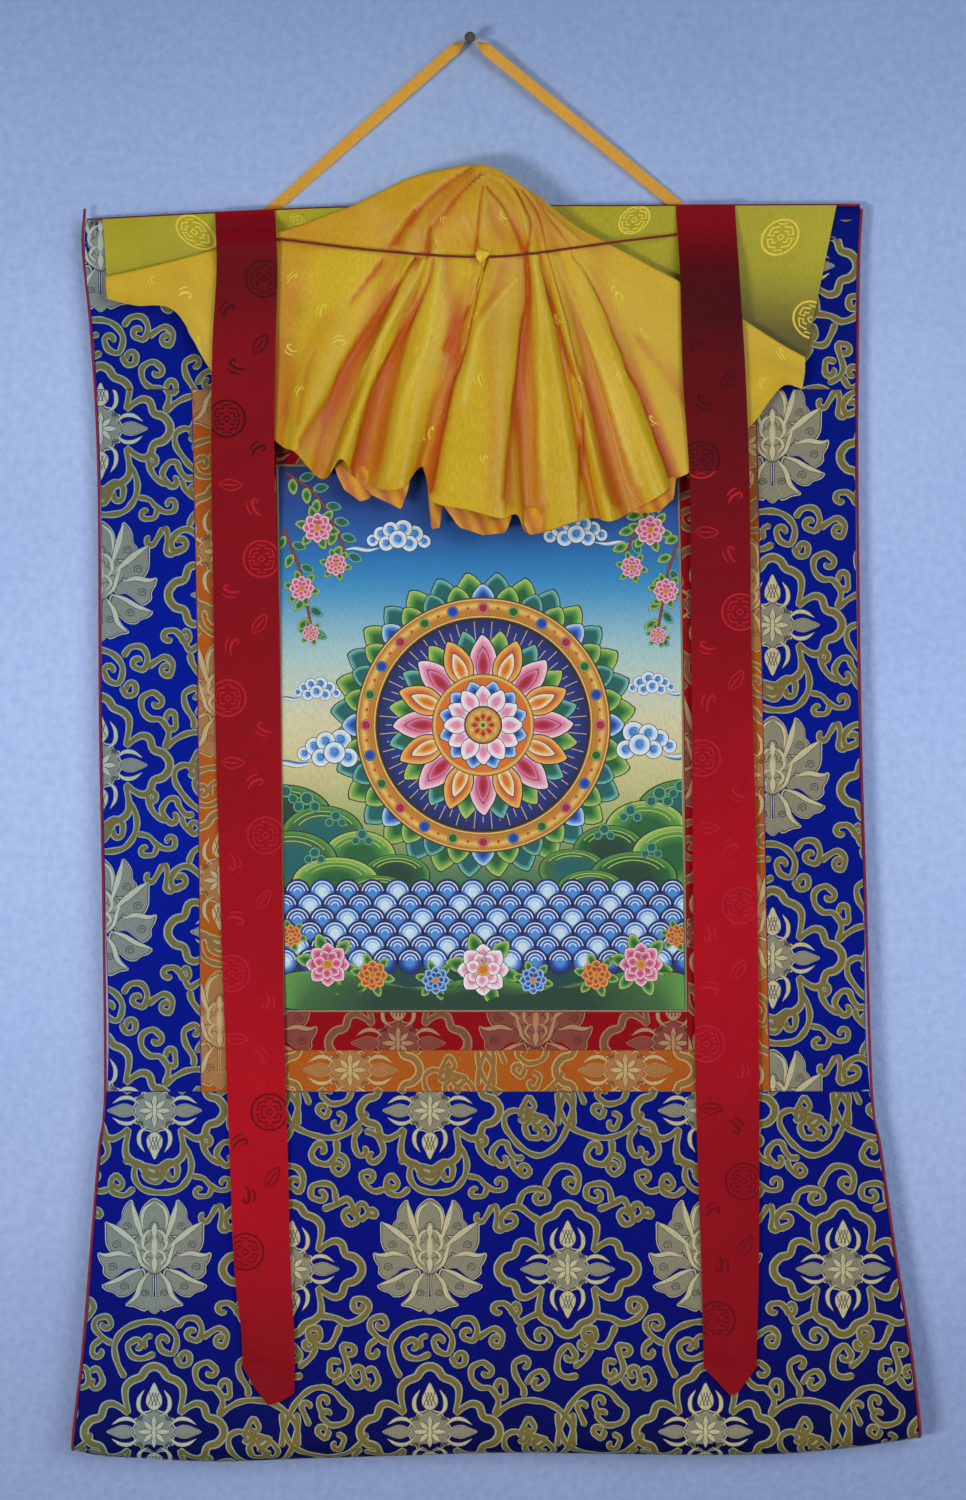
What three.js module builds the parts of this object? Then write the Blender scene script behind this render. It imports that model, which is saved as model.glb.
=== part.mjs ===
// A thangka scroll painting hanging from a nail: a painted canvas in red, orange and blue brocade,
// with piped edges, two long red ribbons and a yellow veil gathered up on a cord.
// Millimetres, +Z up. The wall is the plane y = 0 and the front faces -Y.
// The origin is the middle of the nail's end, where it enters the wall.
import * as THREE from "three";

// Cloth thicknesses and gaps
const BROCADE = 1.4;
const RIBBON = 1.2;
const SATIN = 1.0;
const TAPE = 1.0;
const GAP = 0.3;

// The hung outline: the height, then the left and right edges of the brocade at that height
const EDGES = [
  { z: -129, left: -292, right: 297 },
  { z: -161, left: -293.4, right: 295 },
  { z: -222, left: -287.3, right: 294 },
  { z: -328, left: -281.5, right: 293.4 },
  { z: -518, left: -280, right: 295.6 },
  { z: -655, left: -277.4, right: 299.4 },
  { z: -801, left: -275.9, right: 304 },
  { z: -845, left: -280.4, right: 310.8 },
  { z: -921, left: -286.5, right: 321.5 },
  { z: -997, left: -292.6, right: 333.6 },
  { z: -1050, left: -298.7, right: 339.7 },
  { z: -1082, left: -301.5, right: 342.5 },
];
// The top edge sags to the left and the bottom hem bows
const TOP_EDGE = [
  { x: -300, z: -136.5 },
  { x: -235, z: -133 },
  { x: -167, z: -129.5 },
  { x: -129, z: -127.7 },
  { x: 137, z: -125.4 },
  { x: 300, z: -124.6 },
];
const BOTTOM_EDGE = [
  { x: -305, z: -1072.5 },
  { x: -285, z: -1077 },
  { x: -250, z: -1079.5 },
  { x: -195, z: -1082 },
  { x: -129, z: -1080 },
  { x: -53, z: -1077.7 },
  { x: 23, z: -1075.4 },
  { x: 99, z: -1076.2 },
  { x: 194, z: -1077 },
  { x: 251, z: -1075.4 },
  { x: 289, z: -1071.6 },
  { x: 345, z: -1063.5 },
];
// The borders: their outer edges and the painting's edges at three heights
const FRAME_LINES = [
  { z: -266.8, orangeLeft: -211.5, paintLeft: -146.8, paintRight: 156.2, orangeRight: 217.2 },
  { z: -466.6, orangeLeft: -206.9, paintLeft: -143.6, paintRight: 160.4, orangeRight: 221.6 },
  { z: -800.3, orangeLeft: -204.2, paintLeft: -140.0, paintRight: 164.2, orangeRight: 227.5 },
];
const TOP_SEAM = -266.8;
const PAINT_TOP = -325.3;
const PAINT_BOTTOM = -738.4;
const RED_BOTTOM = -769.1;
const BOTTOM_SEAM = -800.3;
const RED_TOP = (TOP_SEAM + PAINT_TOP) / 2;
const EDGING = 1.6;

// How far the middle of the cloth hangs in front of the wall, by height
const STAND_OFF = [
  { z: -100, y: -11.3 },
  { z: -330, y: -13 },
  { z: -540, y: -15 },
  { z: -801, y: -18.5 },
  { z: -950, y: -21.5 },
  { z: -1062, y: -24.3 },
];
// Slow ripples: sines across and down the cloth, calm near the top edge and near the roll
const RIPPLE = { height: 1.1, across: 95, acrossShift: 0.6, down: 118, downShift: 0.4 };
const CALM = { topStart: 150, topEnd: 320, rollHeight: 1062, rollReach: 140 };

// Hems, filled by the slat and the rod inside them
const TOP_HEM = { height: 26, thickness: 9, backStep: 2, crestHalf: 0.6 };
const TOP_GRID = { columns: 12, sheetRows: 4, hemRows: 6 };
const ROLL_RADIUS = 13;
const ROLL = { columns: 16, rollRows: 8, sheetRows: 6, seamTurn: 0.06, sheetClear: 8 };
const PIPING_RADIUS = 1.1;
const PIPING_GAP = 0.6;
const PIPING_SIDES = 6;
const PIPING_DEPTH = 0.2;
// Where the piping runs round the end of the roll, in half turns from the roll's back
const ROLL_END_TURNS = [1, 1.25, 1.45];
const TOP_PIPING_X = [-292, -235, -167, -129, 137, 297];

// A value read between the rows of a table, along a straight line or a smooth curve
function between(rows, key, at, column) {
  const last = rows.length - 1;
  const up = rows[last][key] > rows[0][key];
  let i = 0;
  while (i < last - 1 && (up ? at > rows[i + 1][key] : at < rows[i + 1][key])) i++;
  const a = rows[i];
  const b = rows[i + 1];
  const t = THREE.MathUtils.clamp((at - a[key]) / (b[key] - a[key]), 0, 1);
  return THREE.MathUtils.lerp(a[column], b[column], t);
}
const leftEdge = (z) => between(EDGES, "z", z, "left");
const rightEdge = (z) => between(EDGES, "z", z, "right");
const topEdge = (x) => between(TOP_EDGE, "x", x, "z");
const bottomEdge = (x) => between(BOTTOM_EDGE, "x", x, "z");
const frameLine = (column) => (z) => between(FRAME_LINES, "z", z, column);
const orangeLeft = frameLine("orangeLeft");
const paintLeft = frameLine("paintLeft");
const paintRight = frameLine("paintRight");
const orangeRight = frameLine("orangeRight");
const redLeft = (z) => (orangeLeft(z) + paintLeft(z)) / 2;
const redRight = (z) => (orangeRight(z) + paintRight(z)) / 2;
const edged = (line, shift) => (z) => line(z) + shift;
const level = (z) => () => z;

// The middle surface of the hung cloth, with its slow ripples
function cloth(x, z) {
  const across = Math.sin(x / RIPPLE.across + RIPPLE.acrossShift);
  const down = Math.sin(z / RIPPLE.down + RIPPLE.downShift);
  const calmTop = THREE.MathUtils.smoothstep(-z, CALM.topStart, CALM.topEnd);
  const calmRoll = THREE.MathUtils.smoothstep(CALM.rollHeight + z, 0, CALM.rollReach);
  return between(STAND_OFF, "z", z, "y") + RIPPLE.height * across * down * calmTop * calmRoll;
}

const group = new THREE.Group();

function addPiece(name, geometry, look) {
  const mesh = new THREE.Mesh(geometry, new THREE.MeshStandardMaterial(look));
  mesh.name = name;
  group.add(mesh);
}

const LOOKS = {
  paint: { color: 0x5f8fa0, roughness: 0.7, metalness: 0 },
  edging: { color: 0xb59a6a, roughness: 0.8, metalness: 0 },
  red: { color: 0x8c1420, roughness: 0.55, metalness: 0 },
  orange: { color: 0xb86422, roughness: 0.5, metalness: 0 },
  blue: { color: 0x1c2a8c, roughness: 0.6, metalness: 0 },
  piping: { color: 0x6e1420, roughness: 0.6, metalness: 0 },
  ribbon: { color: 0x9c0f1c, roughness: 0.45, metalness: 0 },
  veil: { color: 0xe0a422, roughness: 0.35, metalness: 0 },
  cord: { color: 0x7a1420, roughness: 0.6, metalness: 0 },
  tape: { color: 0xe0982a, roughness: 0.5, metalness: 0 },
  nail: { color: 0x3a3d42, roughness: 0.45, metalness: 0.8 },
};

// A closed sheet: a box cut into columns and rows, whose points are placed by a function of
// u (left to right), v (bottom to top) and w (0 on the back, 1 on the front)
function sheet(columns, rows, place) {
  const geometry = new THREE.BoxGeometry(1, 1, 1, columns, rows, 1);
  const points = geometry.attributes.position;
  const half = 0.5;
  for (let i = 0; i < points.count; i++) {
    const p = place(points.getX(i) + half, points.getY(i) + half, points.getZ(i) + half);
    points.setXYZ(i, p.x, p.y, p.z);
  }
  geometry.computeVertexNormals();
  return geometry;
}

// A flat piece of the scroll between two side lines and a bottom and a top line
function panel(name, left, right, bottom, top, columns, rows, look) {
  const inset = GAP / 2;
  addPiece(
    name,
    sheet(columns, rows, (u, v, w) => {
      const guess = THREE.MathUtils.lerp(left(top(0)), right(top(0)), u);
      const z = THREE.MathUtils.lerp(bottom(guess) + inset, top(guess) - inset, v);
      const x = THREE.MathUtils.lerp(left(z) + inset, right(z) - inset, u);
      return new THREE.Vector3(x, cloth(x, z) + BROCADE * (0.5 - w), z);
    }),
    look,
  );
}

// The painting and its edging
panel("painting", paintLeft, paintRight, level(PAINT_BOTTOM), level(PAINT_TOP), 6, 9, LOOKS.paint);
panel("painting_edging_left", edged(paintLeft, -EDGING), paintLeft,
  level(PAINT_BOTTOM), level(PAINT_TOP), 1, 9, LOOKS.edging);
panel("painting_edging_right", paintRight, edged(paintRight, EDGING),
  level(PAINT_BOTTOM), level(PAINT_TOP), 1, 9, LOOKS.edging);
panel("painting_edging_top", edged(paintLeft, -EDGING), edged(paintRight, EDGING),
  level(PAINT_TOP), level(PAINT_TOP + EDGING), 6, 1, LOOKS.edging);
panel("painting_edging_bottom", edged(paintLeft, -EDGING), edged(paintRight, EDGING),
  level(PAINT_BOTTOM - EDGING), level(PAINT_BOTTOM), 6, 1, LOOKS.edging);

// The red and orange borders: the sides run the full height, the top and bottom strips butt between them
panel("red_border_left", redLeft, edged(paintLeft, -EDGING),
  level(RED_BOTTOM), level(RED_TOP), 1, 9, LOOKS.red);
panel("red_border_right", edged(paintRight, EDGING), redRight,
  level(RED_BOTTOM), level(RED_TOP), 1, 9, LOOKS.red);
panel("red_border_top", edged(paintLeft, -EDGING), edged(paintRight, EDGING),
  level(PAINT_TOP + EDGING), level(RED_TOP), 6, 1, LOOKS.red);
panel("red_border_bottom", edged(paintLeft, -EDGING), edged(paintRight, EDGING),
  level(RED_BOTTOM), level(PAINT_BOTTOM - EDGING), 6, 1, LOOKS.red);
panel("orange_border_left", orangeLeft, redLeft, level(BOTTOM_SEAM), level(TOP_SEAM), 1, 10, LOOKS.orange);
panel("orange_border_right", redRight, orangeRight, level(BOTTOM_SEAM), level(TOP_SEAM), 1, 10, LOOKS.orange);
panel("orange_border_top", redLeft, redRight, level(RED_TOP), level(TOP_SEAM), 6, 1, LOOKS.orange);
panel("orange_border_bottom", redLeft, redRight, level(BOTTOM_SEAM), level(RED_BOTTOM), 6, 1, LOOKS.orange);

// The blue brocade at the sides
panel("brocade_left", leftEdge, orangeLeft, level(BOTTOM_SEAM), level(TOP_SEAM), 2, 10, LOOKS.blue);
panel("brocade_right", orangeRight, rightEdge, level(BOTTOM_SEAM), level(TOP_SEAM), 2, 10, LOOKS.blue);

// The blue brocade at the top: a sheet up to the hem, then the hem, round along its top
const HEM_TOP_DROP = 2 * PIPING_RADIUS + GAP;
function brocadeTop() {
  const { columns, sheetRows, hemRows } = TOP_GRID;
  const rows = sheetRows + hemRows;
  const round = TOP_HEM.thickness / 2;
  return sheet(columns, rows, (u, v, w) => {
    const guess = THREE.MathUtils.lerp(leftEdge(topEdge(0)), rightEdge(topEdge(0)), u);
    const crest = topEdge(guess) - HEM_TOP_DROP;
    const foot = crest - TOP_HEM.height;
    const front = STAND_OFF[0].y - BROCADE / 2;
    const row = Math.round(v * rows);
    let z;
    let y;
    if (row <= sheetRows) {
      z = THREE.MathUtils.lerp(TOP_SEAM + GAP / 2, foot, row / sheetRows);
      const x = THREE.MathUtils.lerp(leftEdge(z), rightEdge(z), u);
      y = cloth(x, z) + BROCADE * (0.5 - w);
    } else {
      const turn = ((row - sheetRows - 1) / (hemRows - 1)) * (Math.PI / 2);
      const side = w === 1 ? -1 : 1;
      z = crest - round + round * Math.sin(turn);
      y = front + round + side * round * Math.cos(turn);
      if (row === sheetRows + 1) z = w === 1 ? crest - round : foot + TOP_HEM.backStep;
      if (row === rows) y = front + round + side * TOP_HEM.crestHalf;
    }
    const x = THREE.MathUtils.lerp(leftEdge(z), rightEdge(z), u);
    return new THREE.Vector3(x, y, z);
  });
}
addPiece("brocade_top", brocadeTop(), LOOKS.blue);

// The blue brocade at the bottom: a flared sheet that ends in the rolled hem
function brocadeBottom() {
  const { columns, rollRows, sheetRows, seamTurn, sheetClear } = ROLL;
  const rows = rollRows + sheetRows;
  const backTurn = Math.acos((ROLL_RADIUS - BROCADE) / ROLL_RADIUS);
  return sheet(columns, rows, (u, v, w) => {
    const guess = THREE.MathUtils.lerp(leftEdge(BOTTOM_EDGE[0].z), rightEdge(BOTTOM_EDGE[0].z), u);
    const middleZ = bottomEdge(guess) + ROLL_RADIUS;
    const middleY = cloth(guess, middleZ) - BROCADE / 2 + ROLL_RADIUS;
    const row = Math.round(v * rows);
    let z;
    let y;
    if (row <= rollRows) {
      const share = row / rollRows;
      const quarter = Math.PI / 2;
      const start = w === 1 ? -quarter - seamTurn : -quarter + seamTurn;
      const end = w === 1 ? -Math.PI : Math.PI - backTurn;
      const turn = start + (end - start) * share;
      y = middleY + ROLL_RADIUS * Math.cos(turn);
      z = middleZ + ROLL_RADIUS * Math.sin(turn);
    } else {
      const share = (row - rollRows - 1) / (sheetRows - 1);
      z = THREE.MathUtils.lerp(middleZ + sheetClear, BOTTOM_SEAM - GAP / 2, share);
      const x = THREE.MathUtils.lerp(leftEdge(z), rightEdge(z), u);
      y = cloth(x, z) + BROCADE * (0.5 - w);
    }
    const x = THREE.MathUtils.lerp(leftEdge(z), rightEdge(z), u);
    return new THREE.Vector3(x, y, z);
  });
}
addPiece("brocade_bottom", brocadeBottom(), LOOKS.blue);

// A round cord along a list of points
function tube(points, radius, sides, steps) {
  const section = new THREE.Shape();
  for (let i = 0; i < sides; i++) {
    const turn = (i / sides) * 2 * Math.PI;
    const x = radius * Math.cos(turn);
    const y = radius * Math.sin(turn);
    if (i === 0) section.moveTo(x, y);
    else section.lineTo(x, y);
  }
  section.closePath();
  const path = new THREE.CatmullRomCurve3(points, false, "centripetal");
  return new THREE.ExtrudeGeometry(section, { steps, bevelEnabled: false, extrudePath: path });
}

// Piping down both sides, round the end of the roll, and along the top edge
function sidePiping(edge, side) {
  const out = side * (PIPING_RADIUS + PIPING_GAP);
  const points = [];
  for (const { z } of EDGES.slice(0, -1)) {
    const x = edge(z);
    points.push(new THREE.Vector3(x + out, cloth(x, z) + PIPING_DEPTH, z));
  }
  const end = edge(EDGES[EDGES.length - 2].z);
  const low = bottomEdge(end);
  for (const halfTurns of ROLL_END_TURNS) {
    const turn = halfTurns * Math.PI;
    const reach = ROLL_RADIUS - BROCADE / 2;
    const z = low + ROLL_RADIUS + reach * Math.sin(turn);
    const y = cloth(end, low + ROLL_RADIUS) + ROLL_RADIUS - BROCADE / 2 + reach * Math.cos(turn);
    points.push(new THREE.Vector3(edge(z) + out, y, z));
  }
  return points;
}
const PIPING_STEPS = { side: 22, top: 8 };
function addPiping(name, points, steps) {
  addPiece(name, tube(points, PIPING_RADIUS, PIPING_SIDES, steps), LOOKS.piping);
}
addPiping("piping_left", sidePiping(leftEdge, -1), PIPING_STEPS.side);
addPiping("piping_right", sidePiping(rightEdge, 1), PIPING_STEPS.side);
const hemMiddleY = STAND_OFF[0].y - BROCADE / 2 + TOP_HEM.thickness / 2;
const topPiping = TOP_PIPING_X.map(
  (x) => new THREE.Vector3(x, hemMiddleY, topEdge(x) - PIPING_RADIUS),
);
addPiping("piping_top", topPiping, PIPING_STEPS.top);

// The veil: one cloth in three layers. The back layer hangs from the top edge, folds up behind the
// front and over a ridge, and the front falls from the ridge over the cord to the hem.
// A row for each fold line, left to right: x, z and y of the ridge, of the waist at the cord and of the hem
const VEIL_FOLDS = [
  [-276, -182, -24, -276, -190, -24, -275, -199, -24],
  [-253, -177, -24.5, -253, -190, -25, -254, -204, -24.5],
  [-220, -169, -25, -222, -187, -26, -223, -209, -25],
  [-184, -159, -25, -187, -192, -26.5, -195, -255, -26],
  [-137, -146, -25, -137, -176, -26.5, -148, -306, -27],
  [-95, -131, -27, -91, -164, -31.2, -131, -317, -41],
  [-79, -124, -30, -55, -166, -31.5, -112, -336, -29],
  [-62, -116, -32, -44, -167, -35.6, -97, -322, -45],
  [-48, -109, -34, -35, -168, -33.5, -82, -351, -32],
  [-33, -103, -36, -26, -169, -37.1, -54, -357, -50],
  [-21, -100, -37, -11, -169, -35, -36, -327, -34],
  [-9, -97, -38, 0, -170, -38.5, -29, -369, -46],
  [2, -96, -38, 6, -170, -39.9, 0, -372, -56],
  [12, -97, -38, 14, -170, -39.4, 23, -369, -57],
  [21, -100, -37, 24, -169, -38, 36, -364, -48],
  [30, -105, -36, 41, -166, -33, 46, -378, -37],
  [38, -111, -35, 49, -166, -35.2, 80, -369, -52],
  [46, -116, -34, 54, -165, -32.5, 95, -366, -39],
  [54, -123, -32, 59, -164, -34.1, 106, -369, -50],
  [65, -132, -30, 66, -163, -31, 122, -361, -34],
  [79, -143, -28, 76, -163, -32.1, 145, -348, -45],
  [99, -154, -26, 93, -170, -28.5, 154, -337, -30],
  [129, -170, -25, 120, -190, -27.5, 166, -331, -28],
  [175, -195, -25, 167, -222, -26.5, 182, -318, -27],
  [206, -214, -25, 204, -237, -26, 212, -296, -26],
  [232, -231, -24.5, 233, -245, -25, 236, -266, -24.5],
  [254, -243, -24, 254, -254, -24, 252, -267, -24],
].map(([ridgeX, ridgeZ, ridgeY, waistX, waistZ, waistY, hemX, hemZ, hemY]) => ({
  ridgeX, ridgeZ, ridgeY, waistX, waistZ, waistY, hemX, hemZ, hemY,
}));
const VEIL_TOP = { left: -279.3, right: 278.8, drop: 2, y: -13 };
const BACK_LAYER_Y = -15.6;
const MIDDLE_LAYER_Y = -19.5;
// The low fold lies this share of the way from the ridge to the hem
const LOW_FOLD_SHARE = 0.45;
// The hood stands out furthest in the middle of the veil
const HOOD = { centre: 5, halfWidth: 95, bulge: 9, ridgeRadius: 5, wingRadius: 2 };

// A half circle between two depths at the end of a fold: down is -1 for a fold that hangs, 1 for a ridge
function foldTurn(x, z, fromY, toY, down, share) {
  const radius = Math.abs(toY - fromY) / 2;
  const turn = share * Math.PI;
  return new THREE.Vector3(
    x,
    fromY + (toY - fromY) * (1 - Math.cos(turn)) / 2,
    z + down * radius * Math.sin(turn),
  );
}

// The section of the veil along one fold line, from the top edge to the front hem
const VEIL_STEPS = { back: 3, lowTurn: 3, middle: 2, ridgeTurn: 3, hood: 4, fan: 5 };
function veilSection(row, index) {
  const lerp = THREE.MathUtils.lerp;
  const topX = lerp(VEIL_TOP.left, VEIL_TOP.right, index / (VEIL_FOLDS.length - 1));
  const topZ = topEdge(topX) - VEIL_TOP.drop;
  const foldX = lerp(row.ridgeX, row.hemX, LOW_FOLD_SHARE);
  const foldRadius = (BACK_LAYER_Y - MIDDLE_LAYER_Y) / 2;
  const foldZ = lerp(row.ridgeZ, row.hemZ, LOW_FOLD_SHARE) + foldRadius;
  const hood = Math.max(0, 1 - Math.abs(row.ridgeX - HOOD.centre) / HOOD.halfWidth);
  const ridgeRadius = lerp(HOOD.wingRadius, HOOD.ridgeRadius, hood);
  const ridgeBackY = row.ridgeY + 2 * ridgeRadius;
  const ridgeZ = row.ridgeZ - ridgeRadius;
  const points = [];
  for (let i = 0; i < VEIL_STEPS.back; i++) {
    const t = i / VEIL_STEPS.back;
    const y = lerp(VEIL_TOP.y, BACK_LAYER_Y, Math.sqrt(t));
    points.push(new THREE.Vector3(lerp(topX, foldX, t), y, lerp(topZ, foldZ, t)));
  }
  for (let i = 0; i < VEIL_STEPS.lowTurn; i++) {
    points.push(foldTurn(foldX, foldZ, BACK_LAYER_Y, MIDDLE_LAYER_Y, -1, i / VEIL_STEPS.lowTurn));
  }
  for (let i = 0; i < VEIL_STEPS.middle; i++) {
    const t = i / VEIL_STEPS.middle;
    const y = lerp(MIDDLE_LAYER_Y, ridgeBackY, t);
    points.push(new THREE.Vector3(lerp(foldX, row.ridgeX, t), y, lerp(foldZ, ridgeZ, t)));
  }
  for (let i = 0; i < VEIL_STEPS.ridgeTurn; i++) {
    points.push(foldTurn(row.ridgeX, ridgeZ, ridgeBackY, row.ridgeY, 1, i / VEIL_STEPS.ridgeTurn));
  }
  for (let i = 0; i < VEIL_STEPS.hood; i++) {
    const t = i / VEIL_STEPS.hood;
    const out = HOOD.bulge * hood * Math.sin(Math.PI * t);
    const y = lerp(row.ridgeY, row.waistY, t) - out;
    points.push(new THREE.Vector3(lerp(row.ridgeX, row.waistX, t), y, lerp(ridgeZ, row.waistZ, t)));
  }
  for (let i = 0; i <= VEIL_STEPS.fan; i++) {
    const t = i / VEIL_STEPS.fan;
    const y = lerp(row.waistY, row.hemY, t);
    points.push(new THREE.Vector3(lerp(row.waistX, row.hemX, t), y, lerp(row.waistZ, row.hemZ, t)));
  }
  return points;
}

// The wings need one column for each fold line, the pleats in the middle two
const PLEATED = { first: 4, last: 22 };
const HALF_STEP = 0.5;
function veil() {
  const sections = VEIL_FOLDS.map(veilSection);
  const steps = sections[0].length - 1;
  const stops = [];
  for (let i = 0; i < VEIL_FOLDS.length; i++) {
    stops.push(i);
    if (i >= PLEATED.first && i < PLEATED.last) stops.push(i + HALF_STEP);
  }
  const columns = stops.length - 1;
  const middle = stops.map((stop) => {
    const i = Math.min(Math.floor(stop), VEIL_FOLDS.length - 2);
    return sections[i].map((p, j) => p.clone().lerp(sections[i + 1][j], stop - i));
  });
  const at = (i, j) => middle[THREE.MathUtils.clamp(i, 0, columns)][THREE.MathUtils.clamp(j, 0, steps)];
  return sheet(columns, steps, (u, v, w) => {
    const i = Math.round(u * columns);
    const j = Math.round((1 - v) * steps);
    const across = at(i + 1, j).clone().sub(at(i - 1, j));
    const up = at(i, j - 1).clone().sub(at(i, j + 1));
    const out = across.cross(up).normalize();
    return at(i, j).clone().addScaledVector(out, SATIN * (w - 0.5));
  });
}
addPiece("veil", veil(), LOOKS.veil);

// The cord that holds the veil up: from behind one ribbon, across the gathered waist, to the other
const VEIL_CORD = { radius: 0.9, sides: 8, steps: 28 };
const VEIL_CORD_ROUTE = [
  { x: -148.5, y: -27.6, z: -153.5 },
  { x: -120, y: -30.8, z: -157.5 },
  { x: -94, y: -33.6, z: -161 },
  { x: -68, y: -36, z: -164 },
  { x: -45, y: -38.2, z: -166.3 },
  { x: -25, y: -40, z: -168 },
  { x: -8, y: -41.5, z: -169 },
  { x: 8, y: -42, z: -169.3 },
  { x: 25, y: -40.6, z: -168.6 },
  { x: 45, y: -38.4, z: -166.6 },
  { x: 64, y: -36, z: -163.8 },
  { x: 84, y: -33.2, z: -160.6 },
  { x: 106, y: -29, z: -157 },
  { x: 130, y: -23.6, z: -153.4 },
  { x: 157, y: -17.4, z: -149.5 },
].map(({ x, y, z }) => new THREE.Vector3(x, y, z));
addPiece("veil_cord", tube(VEIL_CORD_ROUTE, VEIL_CORD.radius, VEIL_CORD.sides, VEIL_CORD.steps), LOOKS.cord);

// The ribbons hang from the top edge, out over the veil and back down in front of the brocade
const RIBBON_TOP_DROP = 1.2;
const RIBBON_COLUMNS = 4;
// Heights of the rows along the straight stretch, besides those of the hang table
const RIBBON_ROWS = [-460, -620, -710, -880, -960];
const LEFT_RIBBON = {
  name: "ribbon_left",
  edges: [
    { z: -131, left: -194, right: -148.3 },
    { z: -154, left: -192, right: -146.3 },
    { z: -240, left: -195, right: -147 },
    { z: -336, left: -196, right: -148 },
    { z: -390, left: -195.5, right: -146 },
    { z: -572, left: -192, right: -143 },
    { z: -765, left: -185.5, right: -140.5 },
    { z: -850, left: -182, right: -138 },
    { z: -951, left: -177, right: -135 },
    { z: -984, left: -173, right: -133 },
    { z: -1037, left: -172.5, right: -133 },
  ],
  tip: [
    { share: 0, z: -1008 },
    { share: 0.25, z: -1024 },
    { share: 0.5, z: -1037 },
    { share: 0.75, z: -1034 },
    { share: 1, z: -1028 },
  ],
  hang: [
    { z: -129, y: -14.5 },
    { z: -137, y: -17 },
    { z: -145, y: -26 },
    { z: -153, y: -30.4 },
    { z: -180, y: -30.6 },
    { z: -300, y: -29.4 },
    { z: -312, y: -28.6 },
    { z: -335, y: -20.5 },
    { z: -370, y: -18.5 },
    { z: -540, y: -19 },
    { z: -800, y: -22.8 },
    { z: -1037, y: -28 },
  ],
};
const RIGHT_RIBBON = {
  name: "ribbon_right",
  edges: [
    { z: -128, left: 156.6, right: 201.4 },
    { z: -178, left: 159, right: 204 },
    { z: -257, left: 161, right: 208.5 },
    { z: -331, left: 166, right: 211.5 },
    { z: -463, left: 168, right: 213.8 },
    { z: -680, left: 169.6, right: 218.6 },
    { z: -831, left: 172, right: 219.4 },
    { z: -924, left: 175, right: 219 },
    { z: -1007, left: 177, right: 217 },
    { z: -1029, left: 177.2, right: 216.6 },
  ],
  tip: [
    { share: 0, z: -1009 },
    { share: 0.25, z: -1019 },
    { share: 0.5, z: -1029.5 },
    { share: 0.65, z: -1028 },
    { share: 1, z: -1009 },
  ],
  hang: [
    { z: -127, y: -14.5 },
    { z: -140, y: -17.5 },
    { z: -152, y: -20.2 },
    { z: -185, y: -28 },
    { z: -215, y: -30 },
    { z: -320, y: -30 },
    { z: -338, y: -28.6 },
    { z: -360, y: -20.5 },
    { z: -395, y: -18.5 },
    { z: -540, y: -19 },
    { z: -800, y: -22.8 },
    { z: -1029, y: -27.6 },
  ],
};
function ribbon({ name, edges, tip, hang }) {
  const heights = [...hang.slice(0, -1).map((row) => row.z), ...RIBBON_ROWS];
  heights.sort((a, b) => a - b);
  const rows = heights.length;
  const place = (u, v, w) => {
    const row = Math.round(v * rows);
    const guess = THREE.MathUtils.lerp(edges[0].left, edges[0].right, u);
    let z = row === 0 ? between(tip, "share", u, "z") : heights[row - 1];
    if (row === rows) z = topEdge(guess) - RIBBON_TOP_DROP;
    const left = between(edges, "z", z, "left");
    const x = THREE.MathUtils.lerp(left, between(edges, "z", z, "right"), u);
    const y = between(hang, "z", z, "y") + RIBBON * (0.5 - w);
    return new THREE.Vector3(x, y, z);
  };
  addPiece(name, sheet(RIBBON_COLUMNS, rows, place), LOOKS.ribbon);
}
ribbon(LEFT_RIBBON);
ribbon(RIGHT_RIBBON);

// The nail: shank and flat head, lathed along the way out of the wall
const NAIL = { shankRadius: 1.7, headRadius: 4.1, headThickness: 1.6, reach: 22, crown: 0.8, sides: 20 };
const nailProfile = [
  new THREE.Vector2(0, 0),
  new THREE.Vector2(NAIL.shankRadius, 0),
  new THREE.Vector2(NAIL.shankRadius, NAIL.reach - NAIL.headThickness),
  new THREE.Vector2(NAIL.headRadius, NAIL.reach - NAIL.headThickness),
  new THREE.Vector2(NAIL.headRadius, NAIL.reach - NAIL.headThickness / 3),
  new THREE.Vector2(NAIL.headRadius * NAIL.crown, NAIL.reach),
  new THREE.Vector2(0, NAIL.reach),
];
const nail = new THREE.LatheGeometry(nailProfile, NAIL.sides);
nail.rotateX(Math.PI);
addPiece("nail", nail, LOOKS.nail);

// The hanging tape: up from behind the top hem, over the shank and down again. It faces the front
// along its legs and turns flat onto the shank at the top
const TAPE_WIDTH = 8.6;
const TAPE_FEET = { left: -162.5, right: 169, tuck: 9, y: -2.1 };
const TAPE_CREST_Y = -10.5;
const TAPE_TURN = { start: 3, end: 16 };
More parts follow.
